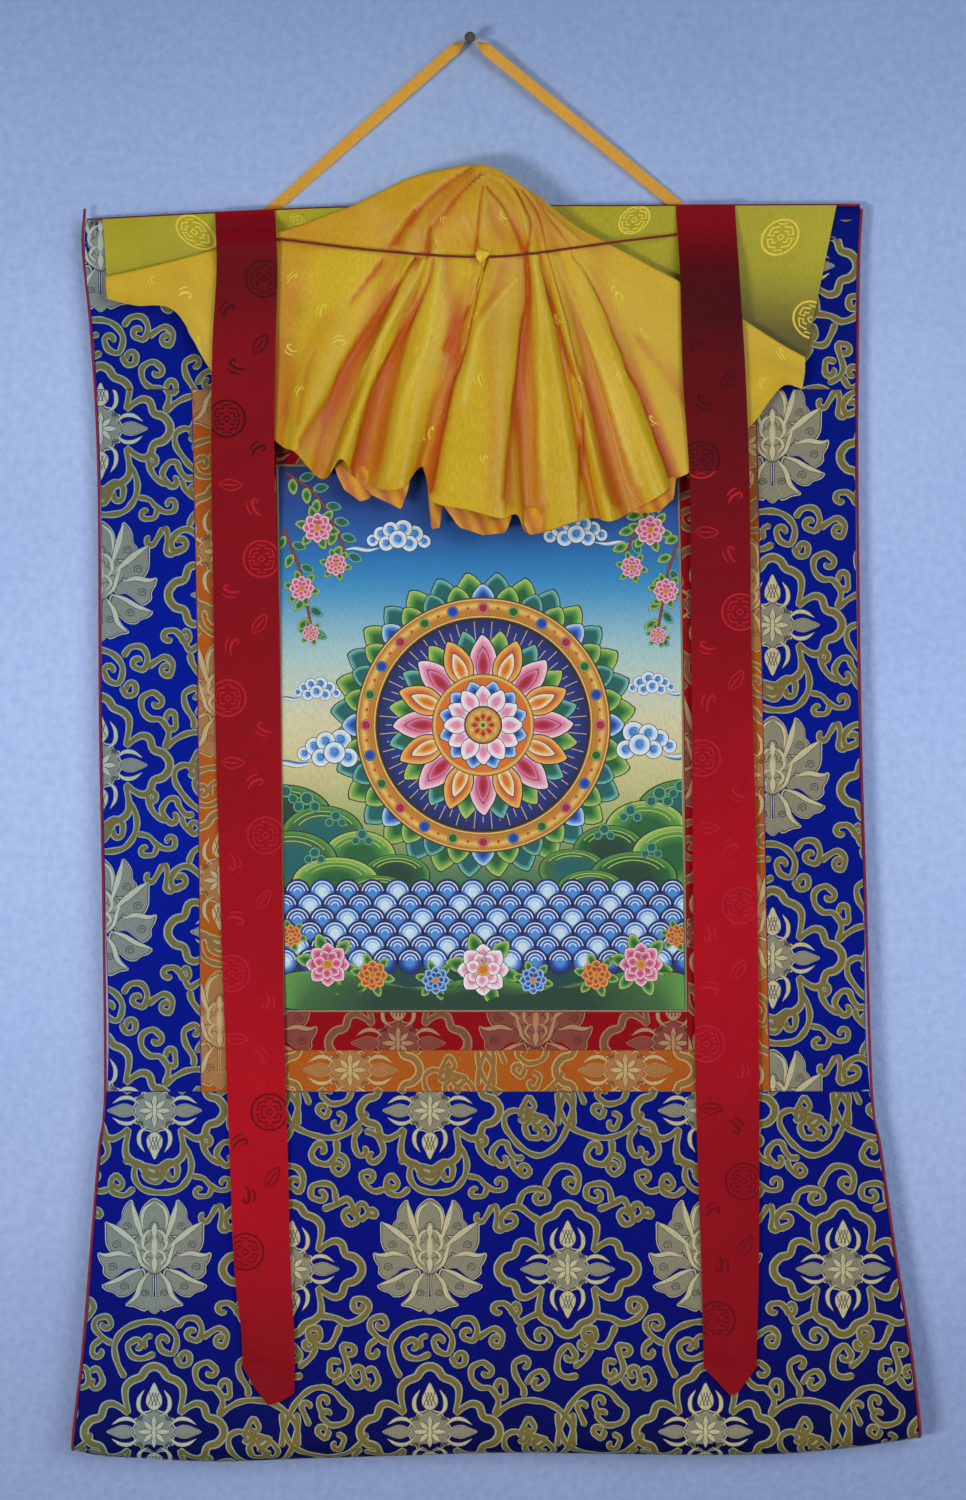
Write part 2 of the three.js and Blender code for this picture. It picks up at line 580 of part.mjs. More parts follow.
// Where each leg has its rows, as shares of the way from the foot to the shank, and each half of the arc
const TAPE_LEG_SHARES = [0, 0.1, 0.35, 0.6, 0.85, 0.92, 0.96, 1];
const TAPE_ARC_SHARES = [0.66, 0.33];
const TAPE_LOW_SHARE = 0.1;
function tapePath() {
  const bend = NAIL.shankRadius + GAP + TAPE / 2;
  const points = [];
  for (const side of [-1, 1]) {
    const footX = side < 0 ? TAPE_FEET.left : TAPE_FEET.right;
    const foot = new THREE.Vector2(footX, topEdge(footX) - TAPE_FEET.tuck);
    const slope = Math.atan2(-foot.y, Math.abs(foot.x));
    const touch = new THREE.Vector2(side * bend * Math.sin(slope), bend * Math.cos(slope));
    const leg = TAPE_LEG_SHARES.map((t) => foot.clone().lerp(touch, t));
    const onArc = (turn) => new THREE.Vector2(side * bend * Math.sin(turn), bend * Math.cos(turn));
    const arc = TAPE_ARC_SHARES.map((t) => onArc(slope * t));
    const half = [...leg, ...arc];
    points.push(...(side < 0 ? [...half, new THREE.Vector2(0, bend)] : half.reverse()));
  }
  return points;
}
function hangingTape() {
  const path = tapePath();
  const columns = path.length - 1;
  return sheet(columns, 2, (u, v, w) => {
    const i = Math.round(u * columns);
    const p = path[i];
    const ahead = path[Math.min(i + 1, columns)].clone().sub(path[Math.max(i - 1, 0)]).normalize();
    const away = p.length();
    const upright = THREE.MathUtils.smoothstep(away, TAPE_TURN.start, TAPE_TURN.end);
    const turn = (1 - upright) * (Math.PI / 2);
    const rise = new THREE.Vector3(-ahead.y, 0, ahead.x).multiplyScalar(Math.cos(turn));
    const width = rise.add(new THREE.Vector3(0, Math.sin(turn), 0));
    const along = new THREE.Vector3(ahead.x, 0, ahead.y);
    const out = along.cross(width);
    const nearNail = 1 - Math.min(1, away / Math.abs(path[0].length()));
    const risen = Math.max(0, nearNail - TAPE_LOW_SHARE) / (1 - TAPE_LOW_SHARE);
    const y = THREE.MathUtils.lerp(TAPE_FEET.y, TAPE_CREST_Y, risen);
    return new THREE.Vector3(p.x, y, p.y)
      .addScaledVector(width, TAPE_WIDTH * (v - 0.5))
      .addScaledVector(out, TAPE * (w - 0.5));
  });
}
addPiece("hanging_tape", hangingTape(), LOOKS.tape);

export default group;
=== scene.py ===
# %% [markdown]
# # A scroll painting on a nail
# The object is a painted canvas framed in red, orange and blue brocade. It hangs by a yellow tape
# from a nail, with two long red ribbons and a yellow silk veil gathered up on a cord.
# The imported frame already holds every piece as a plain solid. This lesson dresses each solid:
# it works out finer surfaces from the same tables, lays woven patterns on them, and lights them.

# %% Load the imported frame
import math

import bpy
import numpy as np
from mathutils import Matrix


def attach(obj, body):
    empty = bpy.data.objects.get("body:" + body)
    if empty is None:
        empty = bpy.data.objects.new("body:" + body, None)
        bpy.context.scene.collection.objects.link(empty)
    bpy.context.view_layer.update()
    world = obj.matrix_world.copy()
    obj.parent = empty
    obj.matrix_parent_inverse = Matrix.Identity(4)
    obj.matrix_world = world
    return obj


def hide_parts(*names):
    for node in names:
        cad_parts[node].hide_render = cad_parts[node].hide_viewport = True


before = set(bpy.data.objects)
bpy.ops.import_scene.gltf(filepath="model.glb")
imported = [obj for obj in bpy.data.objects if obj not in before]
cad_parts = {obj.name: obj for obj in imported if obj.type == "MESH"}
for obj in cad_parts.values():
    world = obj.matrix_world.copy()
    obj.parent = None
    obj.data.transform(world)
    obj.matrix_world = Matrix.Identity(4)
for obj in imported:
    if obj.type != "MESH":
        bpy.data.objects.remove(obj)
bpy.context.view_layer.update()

# %% [markdown]
# ## The camera
# A photograph is matched first by its viewpoint. Here one millimetre on the scroll has to be the
# same share of the picture as in the photograph, so the lens follows from the distance and the
# height that the picture covers. It comes before any shape, so that every shape is judged through it.

# %% Place the camera
PHOTO_VIEW = {"x": 9.9, "z": -541.0, "depth": 16.0, "distance": 3200.0, "height": 1140.0}
SENSOR = 36.0
MM = 0.001

camera_data = bpy.data.cameras.new("photo_view")
camera_data.sensor_fit = "VERTICAL"
camera_data.sensor_height = SENSOR
camera_data.lens = SENSOR * PHOTO_VIEW["distance"] / PHOTO_VIEW["height"]
camera = bpy.data.objects.new("photo_view", camera_data)
away = PHOTO_VIEW["depth"] + PHOTO_VIEW["distance"]
camera.location = (PHOTO_VIEW["x"] * MM, -away * MM, PHOTO_VIEW["z"] * MM)
camera.rotation_euler = (math.pi / 2, 0, 0)
bpy.context.scene.collection.objects.link(camera)
bpy.context.scene.camera = camera
print("lens in mm:", round(camera_data.lens, 2))

# %% [markdown]
# ## Helpers for surfaces
# Cloth is thin and bends smoothly, so every piece is a closed sheet: a grid of points for its front,
# a grid for its back and a rim between them. The tables below give a few heights only, and a smooth
# reading between the rows makes the curves. All sizes are in millimetres until the mesh is made.

# %% Read a table along a smooth curve
def smooth(at, places, values):
    """Cubic Hermite reading: between two rows the value leaves and arrives with the rows' slopes,
    and each row's slope is the mean slope of its neighbours. values may have several columns."""
    at = np.asarray(at, float)
    places = np.asarray(places, float)
    values = np.asarray(values, float)
    order = np.argsort(places)
    places = places[order]
    values = values[order]
    slopes = np.gradient(values, places, axis=0)
    i = np.clip(np.searchsorted(places, at) - 1, 0, len(places) - 2)
    step = places[i + 1] - places[i]
    t = np.clip((at - places[i]) / step, 0, 1)
    if values.ndim > 1:
        t = t[..., None]
        step = step[..., None]
    start = (1 + 2 * t) * (1 - t) ** 2 * values[i] + t * (1 - t) ** 2 * step * slopes[i]
    end = t**2 * (3 - 2 * t) * values[i + 1] + t**2 * (t - 1) * step * slopes[i + 1]
    return start + end


def ease(value, low, high):
    """0 below low, 1 above high, and 3t^2 - 2t^3 between them."""
    t = np.clip((value - low) / (high - low), 0, 1)
    return t * t * (3 - 2 * t)


def mix(a, b, t):
    """The straight line from a to b: a + (b - a) t."""
    return a + (b - a) * t


def distance(line):
    """Distance along a line to each of its points."""
    return np.concatenate([[0], np.cumsum(np.linalg.norm(np.diff(line, axis=0), axis=1))])


def by_length(points, count):
    """The same line with count points at equal distances along it."""
    points = np.asarray(points, float)
    along = distance(points)
    wanted = np.linspace(0, along[-1], count)
    return np.stack([np.interp(wanted, along, column) for column in points.T], 1)


def unit(directions):
    """Each direction at a length of 1."""
    return directions / np.maximum(np.linalg.norm(directions, axis=-1, keepdims=True), 1e-9)


def listed(text):
    """Rows of numbers from text: commas part the numbers of a row, and spaces part the rows."""
    return np.array([[float(number) for number in row.split(",")] for row in text.split()])


def shapes(text):
    """A line for each shape: a few numbers, a colon and the shape's points. A line without a colon
    goes on with the points of the shape above it."""
    found = []
    for line in text.strip().splitlines():
        numbers, colon, points = line.rpartition(":")
        if colon:
            found.append([*map(float, numbers.split()), []])
        found[-1][-1].extend(listed(points))
    return found


print("a smooth reading at 1.5 of 0, 1, 4, 9:", smooth(1.5, [0, 1, 2, 3], [0, 1, 4, 9]))

# %% Make a mesh from arrays
SHARP_TURN = 50


def add_mesh(name, points, faces, materials, slots=None, uv=None, dye=None):
    """points in mm, faces as a list of index arrays with three or four columns. uv and dye hold a
    row for each point. Edges that turn more than SHARP_TURN degrees stay sharp."""
    faces = [np.asarray(f) for f in faces]
    corners = np.concatenate([f.ravel() for f in faces])
    sizes = np.concatenate([np.full(len(f), f.shape[1]) for f in faces])
    mesh = bpy.data.meshes.new(name)
    mesh.vertices.add(len(points))
    mesh.vertices.foreach_set("co", (np.asarray(points) * MM).ravel())
    mesh.loops.add(len(corners))
    mesh.loops.foreach_set("vertex_index", corners)
    mesh.polygons.add(len(sizes))
    mesh.polygons.foreach_set("loop_start", np.cumsum(sizes) - sizes)
    mesh.polygons.foreach_set("use_smooth", np.ones(len(sizes), bool))
    if slots is not None:
        mesh.polygons.foreach_set("material_index", np.asarray(slots, int))
    if uv is not None:
        layer = mesh.uv_layers.new(name="cloth")
        layer.data.foreach_set("uv", (np.asarray(uv)[corners] * MM).ravel())
    if dye is not None:
        colours = mesh.color_attributes.new("dye", "FLOAT_COLOR", "POINT")
        colours.data.foreach_set("color", np.asarray(dye, float).ravel())
    mesh.update(calc_edges=True)
    mesh.validate()
    mesh.set_sharp_from_angle(angle=math.radians(SHARP_TURN))
    for material in materials:
        mesh.materials.append(material)
    piece = bpy.data.objects.new(name, mesh)
    bpy.context.scene.collection.objects.link(piece)
    return piece


def grid_faces(rows, columns, start=0):
    """Quads of a grid whose points run left to right, row by row from the bottom. They face the
    viewer who sees left on the left and the bottom below."""
    index = np.arange(rows * columns).reshape(rows, columns) + start
    corners = [index[:-1, :-1], index[:-1, 1:], index[1:, 1:], index[1:, :-1]]
    return np.stack([c.ravel() for c in corners], 1)


def add_sheet(name, front, back, materials, uv, dye=None):
    """A closed sheet: the front grid, the back grid seen from behind, and a rim that joins them."""
    rows, columns = front.shape[:2]
    count = rows * columns
    index = np.arange(count).reshape(rows, columns)
    loop = np.concatenate([index[0], index[1:, -1], index[-1, -2::-1], index[-2:0:-1, 0]])
    ahead = np.roll(loop, -1)
    faces_front = grid_faces(rows, columns)
    faces_back = grid_faces(rows, columns, count)[:, ::-1]
    rim = np.stack([ahead, loop, loop + count, ahead + count], 1)
    points = np.concatenate([front.reshape(-1, 3), back.reshape(-1, 3)])
    slots = np.repeat([0, 1, 0], [len(faces_front), len(faces_back), len(rim)])
    both = np.concatenate([uv.reshape(-1, 2)] * 2)
    dyes = None if dye is None else np.concatenate([dye.reshape(-1, 4)] * 2)
    return add_mesh(name, points, [faces_front, faces_back, rim], materials, slots, both, dyes)


def add_tube(name, path, radius, sides, material, beside=(0, 1, 0)):
    """A round cord: each point of the path carries a ring, radius (cos a, sin a) in the plane of
    beside and the direction that is square to it and to the path. A point closes each end."""
    path = np.asarray(path, float)
    ahead = unit(np.gradient(path, axis=0))
    first = unit(np.cross(ahead, np.asarray(beside, float)))
    second = np.cross(ahead, first)
    turn = np.linspace(0, 2 * np.pi, sides, endpoint=False)
    radius = np.broadcast_to(radius, len(path))[:, None, None]
    ring = first[:, None] * np.cos(turn)[:, None] + second[:, None] * np.sin(turn)[:, None]
    points = (path[:, None] + radius * ring).reshape(-1, 3)
    points = np.concatenate([points, path[:1], path[-1:]])
    steps = len(path)
    index = np.arange(steps * sides).reshape(steps, sides)
    side = np.roll(index, -1, axis=1)
    quads = np.stack([index[:-1], side[:-1], side[1:], index[1:]], -1).reshape(-1, 4)
    start = np.stack([side[0], index[0], np.full(sides, steps * sides)], 1)
    end = np.stack([index[-1], side[-1], np.full(sides, steps * sides + 1)], 1)
    along = distance(path)
    around = np.abs(np.linspace(-1, 1, sides, endpoint=False)) * np.pi * radius.max()
    uv = np.stack(np.broadcast_arrays(around[None], along[:, None]), -1).reshape(-1, 2)
    uv = np.concatenate([uv, uv[:1], uv[-1:]])
    return add_mesh(name, points, [quads, start, end], [material], None, uv)


def dress(piece, slot, *nodes):
    """Puts a finished piece on the object's one body and hides the solids it stands for. Its slot is not
    used.
    """
    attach(piece, "root")
    if nodes:
        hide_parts(*nodes)
    faces = sum(len(p.vertices) - 2 for p in piece.data.polygons)
    print(piece.name, "has", faces, "triangles")
    return piece


# %% [markdown]
# ## Colours and cloth finishes
# Real brocade is thread, so no surface is one flat colour. Three effects are shared by several
# finishes and are node groups: slanted twill lines, a fine weave, and slow patches of lighter and
# darker dye. Each finish places them with its own values.

# %% Node helpers
def colour(red, green, blue):
    """A colour picked on screen, 0 to 255, as the light values that shaders use."""
    value = np.array([red, green, blue]) / 255
    light = np.where(value <= 0.04045, value / 12.92, ((value + 0.055) / 1.055) ** 2.4)
    return (*light, 1.0)


def tints(rows):
    """A dye for each row of red, green and blue. A fourth number says how strongly the twill lines
    show, and without it they don't."""
    return np.array([(*colour(*row[:3])[:3], row[3] if len(row) > 3 else 0.0) for row in rows])


def put(tree, kind, values=(), **settings):
    """Adds a node; a value for a socket is a number, a colour or the output that feeds it."""
    made = tree.nodes.new(kind)
    for key, value in settings.items():
        setattr(made, key, value)
    for socket, value in dict(values).items():
        if isinstance(value, bpy.types.NodeSocket):
            tree.links.new(value, made.inputs[socket])
        else:
            made.inputs[socket].default_value = value
    return made


def new_group(name, inputs, outputs):
    """An empty node group with float inputs, except for one named Place, and its outputs."""
    tree = bpy.data.node_groups.new(name, "ShaderNodeTree")
    for socket, value in inputs.items():
        kind = "NodeSocketVector" if socket == "Place" else "NodeSocketFloat"
        made = tree.interface.new_socket(socket, in_out="INPUT", socket_type=kind)
        if value is not None:
            made.default_value = value
    for socket in outputs:
        tree.interface.new_socket(socket, in_out="OUTPUT", socket_type="NodeSocketFloat")
    return tree, tree.nodes.new("NodeGroupInput"), tree.nodes.new("NodeGroupOutput")


def new_material(name):
    """A new material, its node tree and its main shader."""
    material = bpy.data.materials.new(name)
    material.use_nodes = True
    return material, material.node_tree, material.node_tree.nodes["Principled BSDF"]


def ramp(tree, share, stops):
    """A colour ramp that reads share, with a position and a colour for each stop."""
    made = put(tree, "ShaderNodeValToRGB", {"Fac": share})
    elements = made.color_ramp.elements
    elements.remove(elements[1])
    for number, (at, shade) in enumerate(stops):
        element = elements.new(at) if number else elements[0]
        element.position = at
        element.color = shade
    return made.outputs[0]


def sum_node(tree, operation, a, b=0.0, c=0.0):
    """One arithmetic step on a, b and c."""
    return put(tree, "ShaderNodeMath", {0: a, 1: b, 2: c}, operation=operation).outputs[0]


# %% Group: twill lines
twill, given, result = new_group(
    "twill_lines", {"Place": None, "Lines per metre": 600.0, "Slant": 0.6}, ["Line", "Height"]
)
split = put(twill, "ShaderNodeSeparateXYZ", {0: given.outputs["Place"]})
slanted = sum_node(twill, "MULTIPLY_ADD", split.outputs["Y"], given.outputs["Slant"], split.outputs["X"])
turns = sum_node(twill, "MULTIPLY", slanted, given.outputs["Lines per metre"])
wave = sum_node(twill, "SINE", sum_node(twill, "MULTIPLY", turns, 2 * math.pi))
line = sum_node(twill, "MULTIPLY_ADD", wave, 0.5, 0.5)
twill.links.new(line, result.inputs["Line"])
twill.links.new(line, result.inputs["Height"])
print("group made:", twill.name)

# %% Group: fine weave
weave, given, result = new_group(
    "fine_weave", {"Place": None, "Threads per metre": 1400.0}, ["Height", "Glint"]
)
split = put(weave, "ShaderNodeSeparateXYZ", {0: given.outputs["Place"]})
crossed = []
for axis in ("X", "Y"):
    turns = sum_node(weave, "MULTIPLY", split.outputs[axis], given.outputs["Threads per metre"])
    crossed.append(sum_node(weave, "SINE", sum_node(weave, "MULTIPLY", turns, 2 * math.pi)))
checked = sum_node(weave, "MULTIPLY", crossed[0], crossed[1])
weave.links.new(sum_node(weave, "MULTIPLY_ADD", checked, 0.5, 0.5), result.inputs["Height"])
stretch = put(weave, "ShaderNodeMapping", {0: given.outputs["Place"], "Scale": (900, 220, 900)})
speckle = put(weave, "ShaderNodeTexNoise", {"Vector": stretch.outputs[0], "Scale": 1.0})
weave.links.new(speckle.outputs["Fac"], result.inputs["Glint"])
print("group made:", weave.name)

# %% Group: slow patches of dye
patches, given, result = new_group(
    "dye_patches", {"Place": None, "Patches per metre": 12.0, "Depth": 0.2}, ["Shade"]
)
cloudy = put(
    patches,
    "ShaderNodeTexNoise",
    {"Vector": given.outputs["Place"], "Scale": given.outputs["Patches per metre"], "Detail": 4.0},
)
centred = sum_node(patches, "SUBTRACT", cloudy.outputs["Fac"], 0.5)
swing = sum_node(patches, "MULTIPLY", centred, given.outputs["Depth"])
patches.links.new(sum_node(patches, "MULTIPLY_ADD", swing, 2.0, 1.0), result.inputs["Shade"])
print("group made:", patches.name)

# %% A cloth finish
def cloth_finish(name, dye=None, threads=1400.0, lines=600.0, slant=0.6, patch=0.15, line_depth=0.0,
                 bump=0.0002, rough=(0.45, 0.6), metallic=0.0, specular=0.5):
    """Cloth from its UV map in metres. dye is a plain colour, or None where the dye attribute holds
    it; the attribute's alpha then says how strongly the twill lines show."""
    material, tree, shader = new_material(name)
    place = put(tree, "ShaderNodeUVMap", uv_map="cloth").outputs["UV"]
    fine = put(tree, "ShaderNodeGroup", node_tree=weave)
    ribs = put(tree, "ShaderNodeGroup", node_tree=twill)
    slow = put(tree, "ShaderNodeGroup", node_tree=patches)
    for group in (fine, ribs, slow):
        tree.links.new(place, group.inputs["Place"])
    fine.inputs["Threads per metre"].default_value = threads
    ribs.inputs["Lines per metre"].default_value = lines
    ribs.inputs["Slant"].default_value = slant
    slow.inputs["Depth"].default_value = patch
    if dye is None:
        painted = put(tree, "ShaderNodeAttribute", attribute_name="dye")
        base, strength = painted.outputs["Color"], painted.outputs["Alpha"]
    else:
        base = put(tree, "ShaderNodeRGB").outputs[0]
        base.default_value = colour(*dye)
        strength = 1.0
    dark = sum_node(tree, "SUBTRACT", 1.0, ribs.outputs["Line"])
    dark = sum_node(tree, "MULTIPLY", sum_node(tree, "MULTIPLY", dark, line_depth), strength)
    glint = sum_node(tree, "MULTIPLY_ADD", fine.outputs["Glint"], 0.5, 0.75)
    shade = sum_node(tree, "MULTIPLY", slow.outputs["Shade"], glint)
    shade = sum_node(tree, "MULTIPLY", shade, sum_node(tree, "SUBTRACT", 1.0, dark))
    tinted = put(tree, "ShaderNodeVectorMath", {0: base, 1: shade}, operation="MULTIPLY")
    tree.links.new(tinted.outputs[0], shader.inputs["Base Color"])
    roughness = sum_node(tree, "MULTIPLY_ADD", fine.outputs["Glint"], rough[1] - rough[0], rough[0])
    tree.links.new(roughness, shader.inputs["Roughness"])
    height = sum_node(tree, "ADD", fine.outputs["Height"], ribs.outputs["Height"])
    relief = put(tree, "ShaderNodeBump", {"Height": height, "Distance": bump, "Strength": 0.6})
    tree.links.new(relief.outputs[0], shader.inputs["Normal"])
    shader.inputs["Metallic"].default_value = metallic
    shader.inputs["Specular IOR Level"].default_value = specular
    print("finish made:", name)
    return material


BLUE = cloth_finish("blue_satin_ground", threads=900, patch=0.25, rough=(0.42, 0.6), specular=0.03)
ORANGE = cloth_finish("orange_satin_ground", (182, 92, 20), threads=900, patch=0.16, specular=0.1)
RED = cloth_finish("red_satin_ground", (150, 6, 20), threads=900, patch=0.15, specular=0.06)
REVERSE_BLUE, REVERSE_WARM = (
    cloth_finish(name, dye, threads=700, lines=420, slant=1.0, line_depth=0.25, patch=0.2,
                 rough=(0.7, 0.85))
    for name, dye in (("blue_brocade_reverse", (52, 60, 112)), ("warm_brocade_reverse", (150, 100, 62)))
)
CANVAS_BACK = cloth_finish("bare_canvas_back", (196, 182, 150), threads=800, patch=0.12,
                           rough=(0.8, 0.9), bump=0.0004)
PAINTED = cloth_finish("painted_canvas", threads=1100, patch=0.05, rough=(0.55, 0.75), bump=0.00012)
GOLD_THREAD = cloth_finish("gold_and_silver_thread", threads=1000, lines=610, slant=0.55,
                           line_depth=0.4, patch=0.12, rough=(0.35, 0.55), metallic=0.1,
                           bump=0.00015, specular=0.3)
EDGING_CORD = cloth_finish("beige_edging_cord", (186, 165, 120), threads=500, lines=700,
                           slant=1.6, line_depth=0.5, bump=0.0004, rough=(0.6, 0.8))
PIPING = cloth_finish("dark_red_piping", (166, 24, 42), threads=700, lines=480, slant=1.3,
                      line_depth=0.45, bump=0.0005, rough=(0.5, 0.7))
RIBBON_RED = cloth_finish("red_damask", threads=1000, patch=0.22, rough=(0.34, 0.52), specular=0.08)
RIBBON_BACK = cloth_finish("red_damask_reverse", (140, 14, 28), patch=0.15, rough=(0.6, 0.8))
VEIL_YELLOW = cloth_finish("yellow_satin", threads=1200, patch=0.2, rough=(0.25, 0.42),
                           bump=0.00008, specular=0.28)
VEIL_CORD = cloth_finish("dark_red_cord", (156, 18, 34), threads=600, lines=620, slant=2.2,
                         line_depth=0.5, bump=0.0005, rough=(0.5, 0.7))
TAPE_YELLOW = cloth_finish("yellow_tape", (236, 168, 30), threads=1100, lines=900, slant=0.9,
                           line_depth=0.2, patch=0.14, rough=(0.3, 0.5))

# %% [markdown]
# ## The cord that holds the veil
# The cord is the one long flexible line here, so its route is settled first. It comes out from
# behind the left ribbon, rests across the gathered silk and goes in behind the right ribbon. The
# packed tube follows these same points, and a tube of rings carries a twisted finish along it.

# %% The veil's cord
VEIL_CORD_DIAMETER = 1.8
VEIL_CORD_ROUTE = listed("""
-148.5,-27.6,-153.5 -120,-30.8,-157.5 -94,-33.6,-161 -68,-36,-164 -45,-38.2,-166.3 -25,-40,-168
-8,-41.5,-169 8,-42,-169.3 25,-40.6,-168.6 45,-38.4,-166.6 64,-36,-163.8 84,-33.2,-160.6 106,-29,-157
130,-23.6,-153.4 157,-17.4,-149.5""")
turns = np.linspace(0, len(VEIL_CORD_ROUTE) - 1, 400)
cord_line = by_length(smooth(turns, np.arange(len(VEIL_CORD_ROUTE)), VEIL_CORD_ROUTE), 160)
veil_cord = dress(
    add_tube("veil_cord_twisted", cord_line, VEIL_CORD_DIAMETER / 2, 10, VEIL_CORD),
    "dark_red_cord",
    "veil_cord",
)

# %% [markdown]
# ## The hung cloth
# A scroll never hangs as a flat board. It leaves the wall a little towards the bottom, where the
# roll holds it off, its sides flare, and slow ripples run through it. One function gives the middle
# of the cloth at any place, so that every panel, thread and painted shape agrees with its neighbours.

# %% Tables of the hung outline
# height, left edge, right edge
EDGES = listed("""
-129,-292,297 -161,-293.4,295 -222,-287.3,294 -328,-281.5,293.4 -518,-280,295.6 -655,-277.4,299.4
-801,-275.9,304 -845,-280.4,310.8 -921,-286.5,321.5 -997,-292.6,333.6 -1050,-298.7,339.7
-1082,-301.5,342.5""")
# x, height
TOP_EDGE = listed("-300,-136.5 -235,-133 -167,-129.5 -129,-127.7 137,-125.4 300,-124.6")
BOTTOM_EDGE = listed("""
-305,-1072.5 -285,-1077 -250,-1079.5 -195,-1082 -129,-1080 -53,-1077.7 23,-1075.4 99,-1076.2 194,-1077
251,-1075.4 289,-1071.6 345,-1063.5""")
# height, orange border's left edge, painting's left and right edges, orange border's right edge
FRAME_LINES = np.array([
    (-266.8, -211.5, -146.8, 156.2, 217.2),
    (-466.6, -206.9, -143.6, 160.4, 221.6),
    (-800.3, -204.2, -140.0, 164.2, 227.5),
])
# height, depth of the middle of the cloth
STAND_OFF = listed("-100,-11.3 -330,-13 -540,-15 -801,-18.5 -950,-21.5 -1062,-24.3")
TOP_SEAM = -266.8
PAINT_TOP = -325.3
PAINT_BOTTOM = -738.4
RED_BOTTOM = -769.1
BOTTOM_SEAM = -800.3
RED_TOP = (TOP_SEAM + PAINT_TOP) / 2
EDGING = 1.6
BROCADE = 1.4
GAP = 0.02
RIPPLE = 1.1
CALM = {"top": (150, 320), "bottom": (0, 140), "roll": 1062}


def reader(rows, column=1):
    """One column of a table as a smooth function of its first column."""
    return lambda at: smooth(at, rows[:, 0], rows[:, column])


left_edge, right_edge = reader(EDGES), reader(EDGES, 2)
top_edge, bottom_edge, stand_off = reader(TOP_EDGE), reader(BOTTOM_EDGE), reader(STAND_OFF)


def frame_line(column, shift=0.0):
    """One of the straight lines round the painting, moved sideways."""
    return lambda z: np.interp(z, FRAME_LINES[::-1, 0], FRAME_LINES[::-1, column]) + shift


ORANGE_LEFT, PAINT_LEFT, PAINT_RIGHT, ORANGE_RIGHT = (frame_line(c) for c in (1, 2, 3, 4))


def red_left(z):
    return (ORANGE_LEFT(z) + PAINT_LEFT(z)) / 2


def red_right(z):
    return (ORANGE_RIGHT(z) + PAINT_RIGHT(z)) / 2


def cloth(x, z):
    """The depth y of the cloth's middle: the stand-off at this height, plus a slow ripple, a sine
    across times a sine down, which dies out at the top and at the roll."""
    ripple = np.sin(x / 95 + 0.6) * np.sin(z / 118 + 0.4)
    small = np.sin(x / 31 + z / 77 + 1.3) * np.sin(z / 53 - x / 210 + 0.7)
    calm = ease(-z, *CALM["top"]) * ease(CALM["roll"] + z, *CALM["bottom"])
    return stand_off(z) + calm * (RIPPLE * ripple + 0.25 * small)


print("the cloth hangs", round(-float(cloth(0.0, -800.0)), 1), "mm from the wall at the lower seam")

# %% A flat panel of the scroll
def panel(name, left, right, low, high, materials, dye, grid=8.0):
    """A sheet between two side lines and two heights: x runs straight between the side lines at
    each height, and the front lies half the cloth's thickness before its middle."""
    inset = GAP / 2
    low, high = low + inset, high - inset
    rows = max(2, round((high - low) / grid) + 1)
    columns = max(2, round(float(right(high) - left(high)) / grid) + 1)
    z = np.linspace(low, high, rows)[:, None] + np.zeros(columns)
    x = mix(left(z) + inset, right(z) - inset, np.linspace(0, 1, columns)[None])
    y = cloth(x, z)
    front = np.stack([x, y - BROCADE / 2, z], -1)
    back = np.stack([x, y + BROCADE / 2, z], -1)
    return add_sheet(name, front, back, materials, np.stack([x, z], -1), dye(x, z))


# height, then the blue at the left and the right, with painted shade: darker at the top, roll and right
SHADED_GROUND_BLUES = listed("""
-120,5,22,124,5,20,112 -600,4,28,152,4,24,136 -800,6,22,138,5,18,122 -960,8,18,124,8,14,106
-1040,9,16,100,9,12,82 -1100,10,12,50,9,10,40""")
GROUND_LEFT, GROUND_WIDTH = -300, 640


def shaded_ground_dye(x, z):
    """The blue at a place with its painted shade, read smoothly by height and evenly from left to right."""
    heights, left, right = SHADED_GROUND_BLUES[:, 0], tints(SHADED_GROUND_BLUES[:, 1:4]), tints(SHADED_GROUND_BLUES[:, 4:])
    share = np.clip((x - GROUND_LEFT) / GROUND_WIDTH, 0, 1)[..., None]
    return np.clip(mix(smooth(z, heights, left), smooth(z, heights, right), share), 0, 1)


outer_left, outer_right = frame_line(2, -EDGING), frame_line(3, EDGING)
# name, side lines, low and high edge, then the pattern's first flower and the height of its cells
SIDE_PANELS = [
    ("red_border_left", red_left, outer_left, RED_BOTTOM, RED_TOP, (-160, -500), 250),
    ("red_border_right", outer_right, red_right, RED_BOTTOM, RED_TOP, (180, -430), 250),
    ("red_border_top", outer_left, outer_right, PAINT_TOP + EDGING, RED_TOP, (40, -310), 250),
    ("red_border_bottom", outer_left, outer_right, RED_BOTTOM, PAINT_BOTTOM - EDGING, (50, -640), 250),
    ("orange_border_left", ORANGE_LEFT, red_left, BOTTOM_SEAM, TOP_SEAM, (-190, -640), 250),
    ("orange_border_right", red_right, ORANGE_RIGHT, BOTTOM_SEAM, TOP_SEAM, (210, -560), 250),
    ("orange_border_top", red_left, red_right, RED_TOP, TOP_SEAM, (20, -280), 250),
    ("orange_border_bottom", red_left, red_right, BOTTOM_SEAM, RED_BOTTOM, (118, -784), 250),
    ("brocade_left", left_edge, ORANGE_LEFT, BOTTOM_SEAM, TOP_SEAM, (-281, -552.5), 256),
    ("brocade_right", ORANGE_RIGHT, right_edge, BOTTOM_SEAM, TOP_SEAM, (230, -446), 253),
]
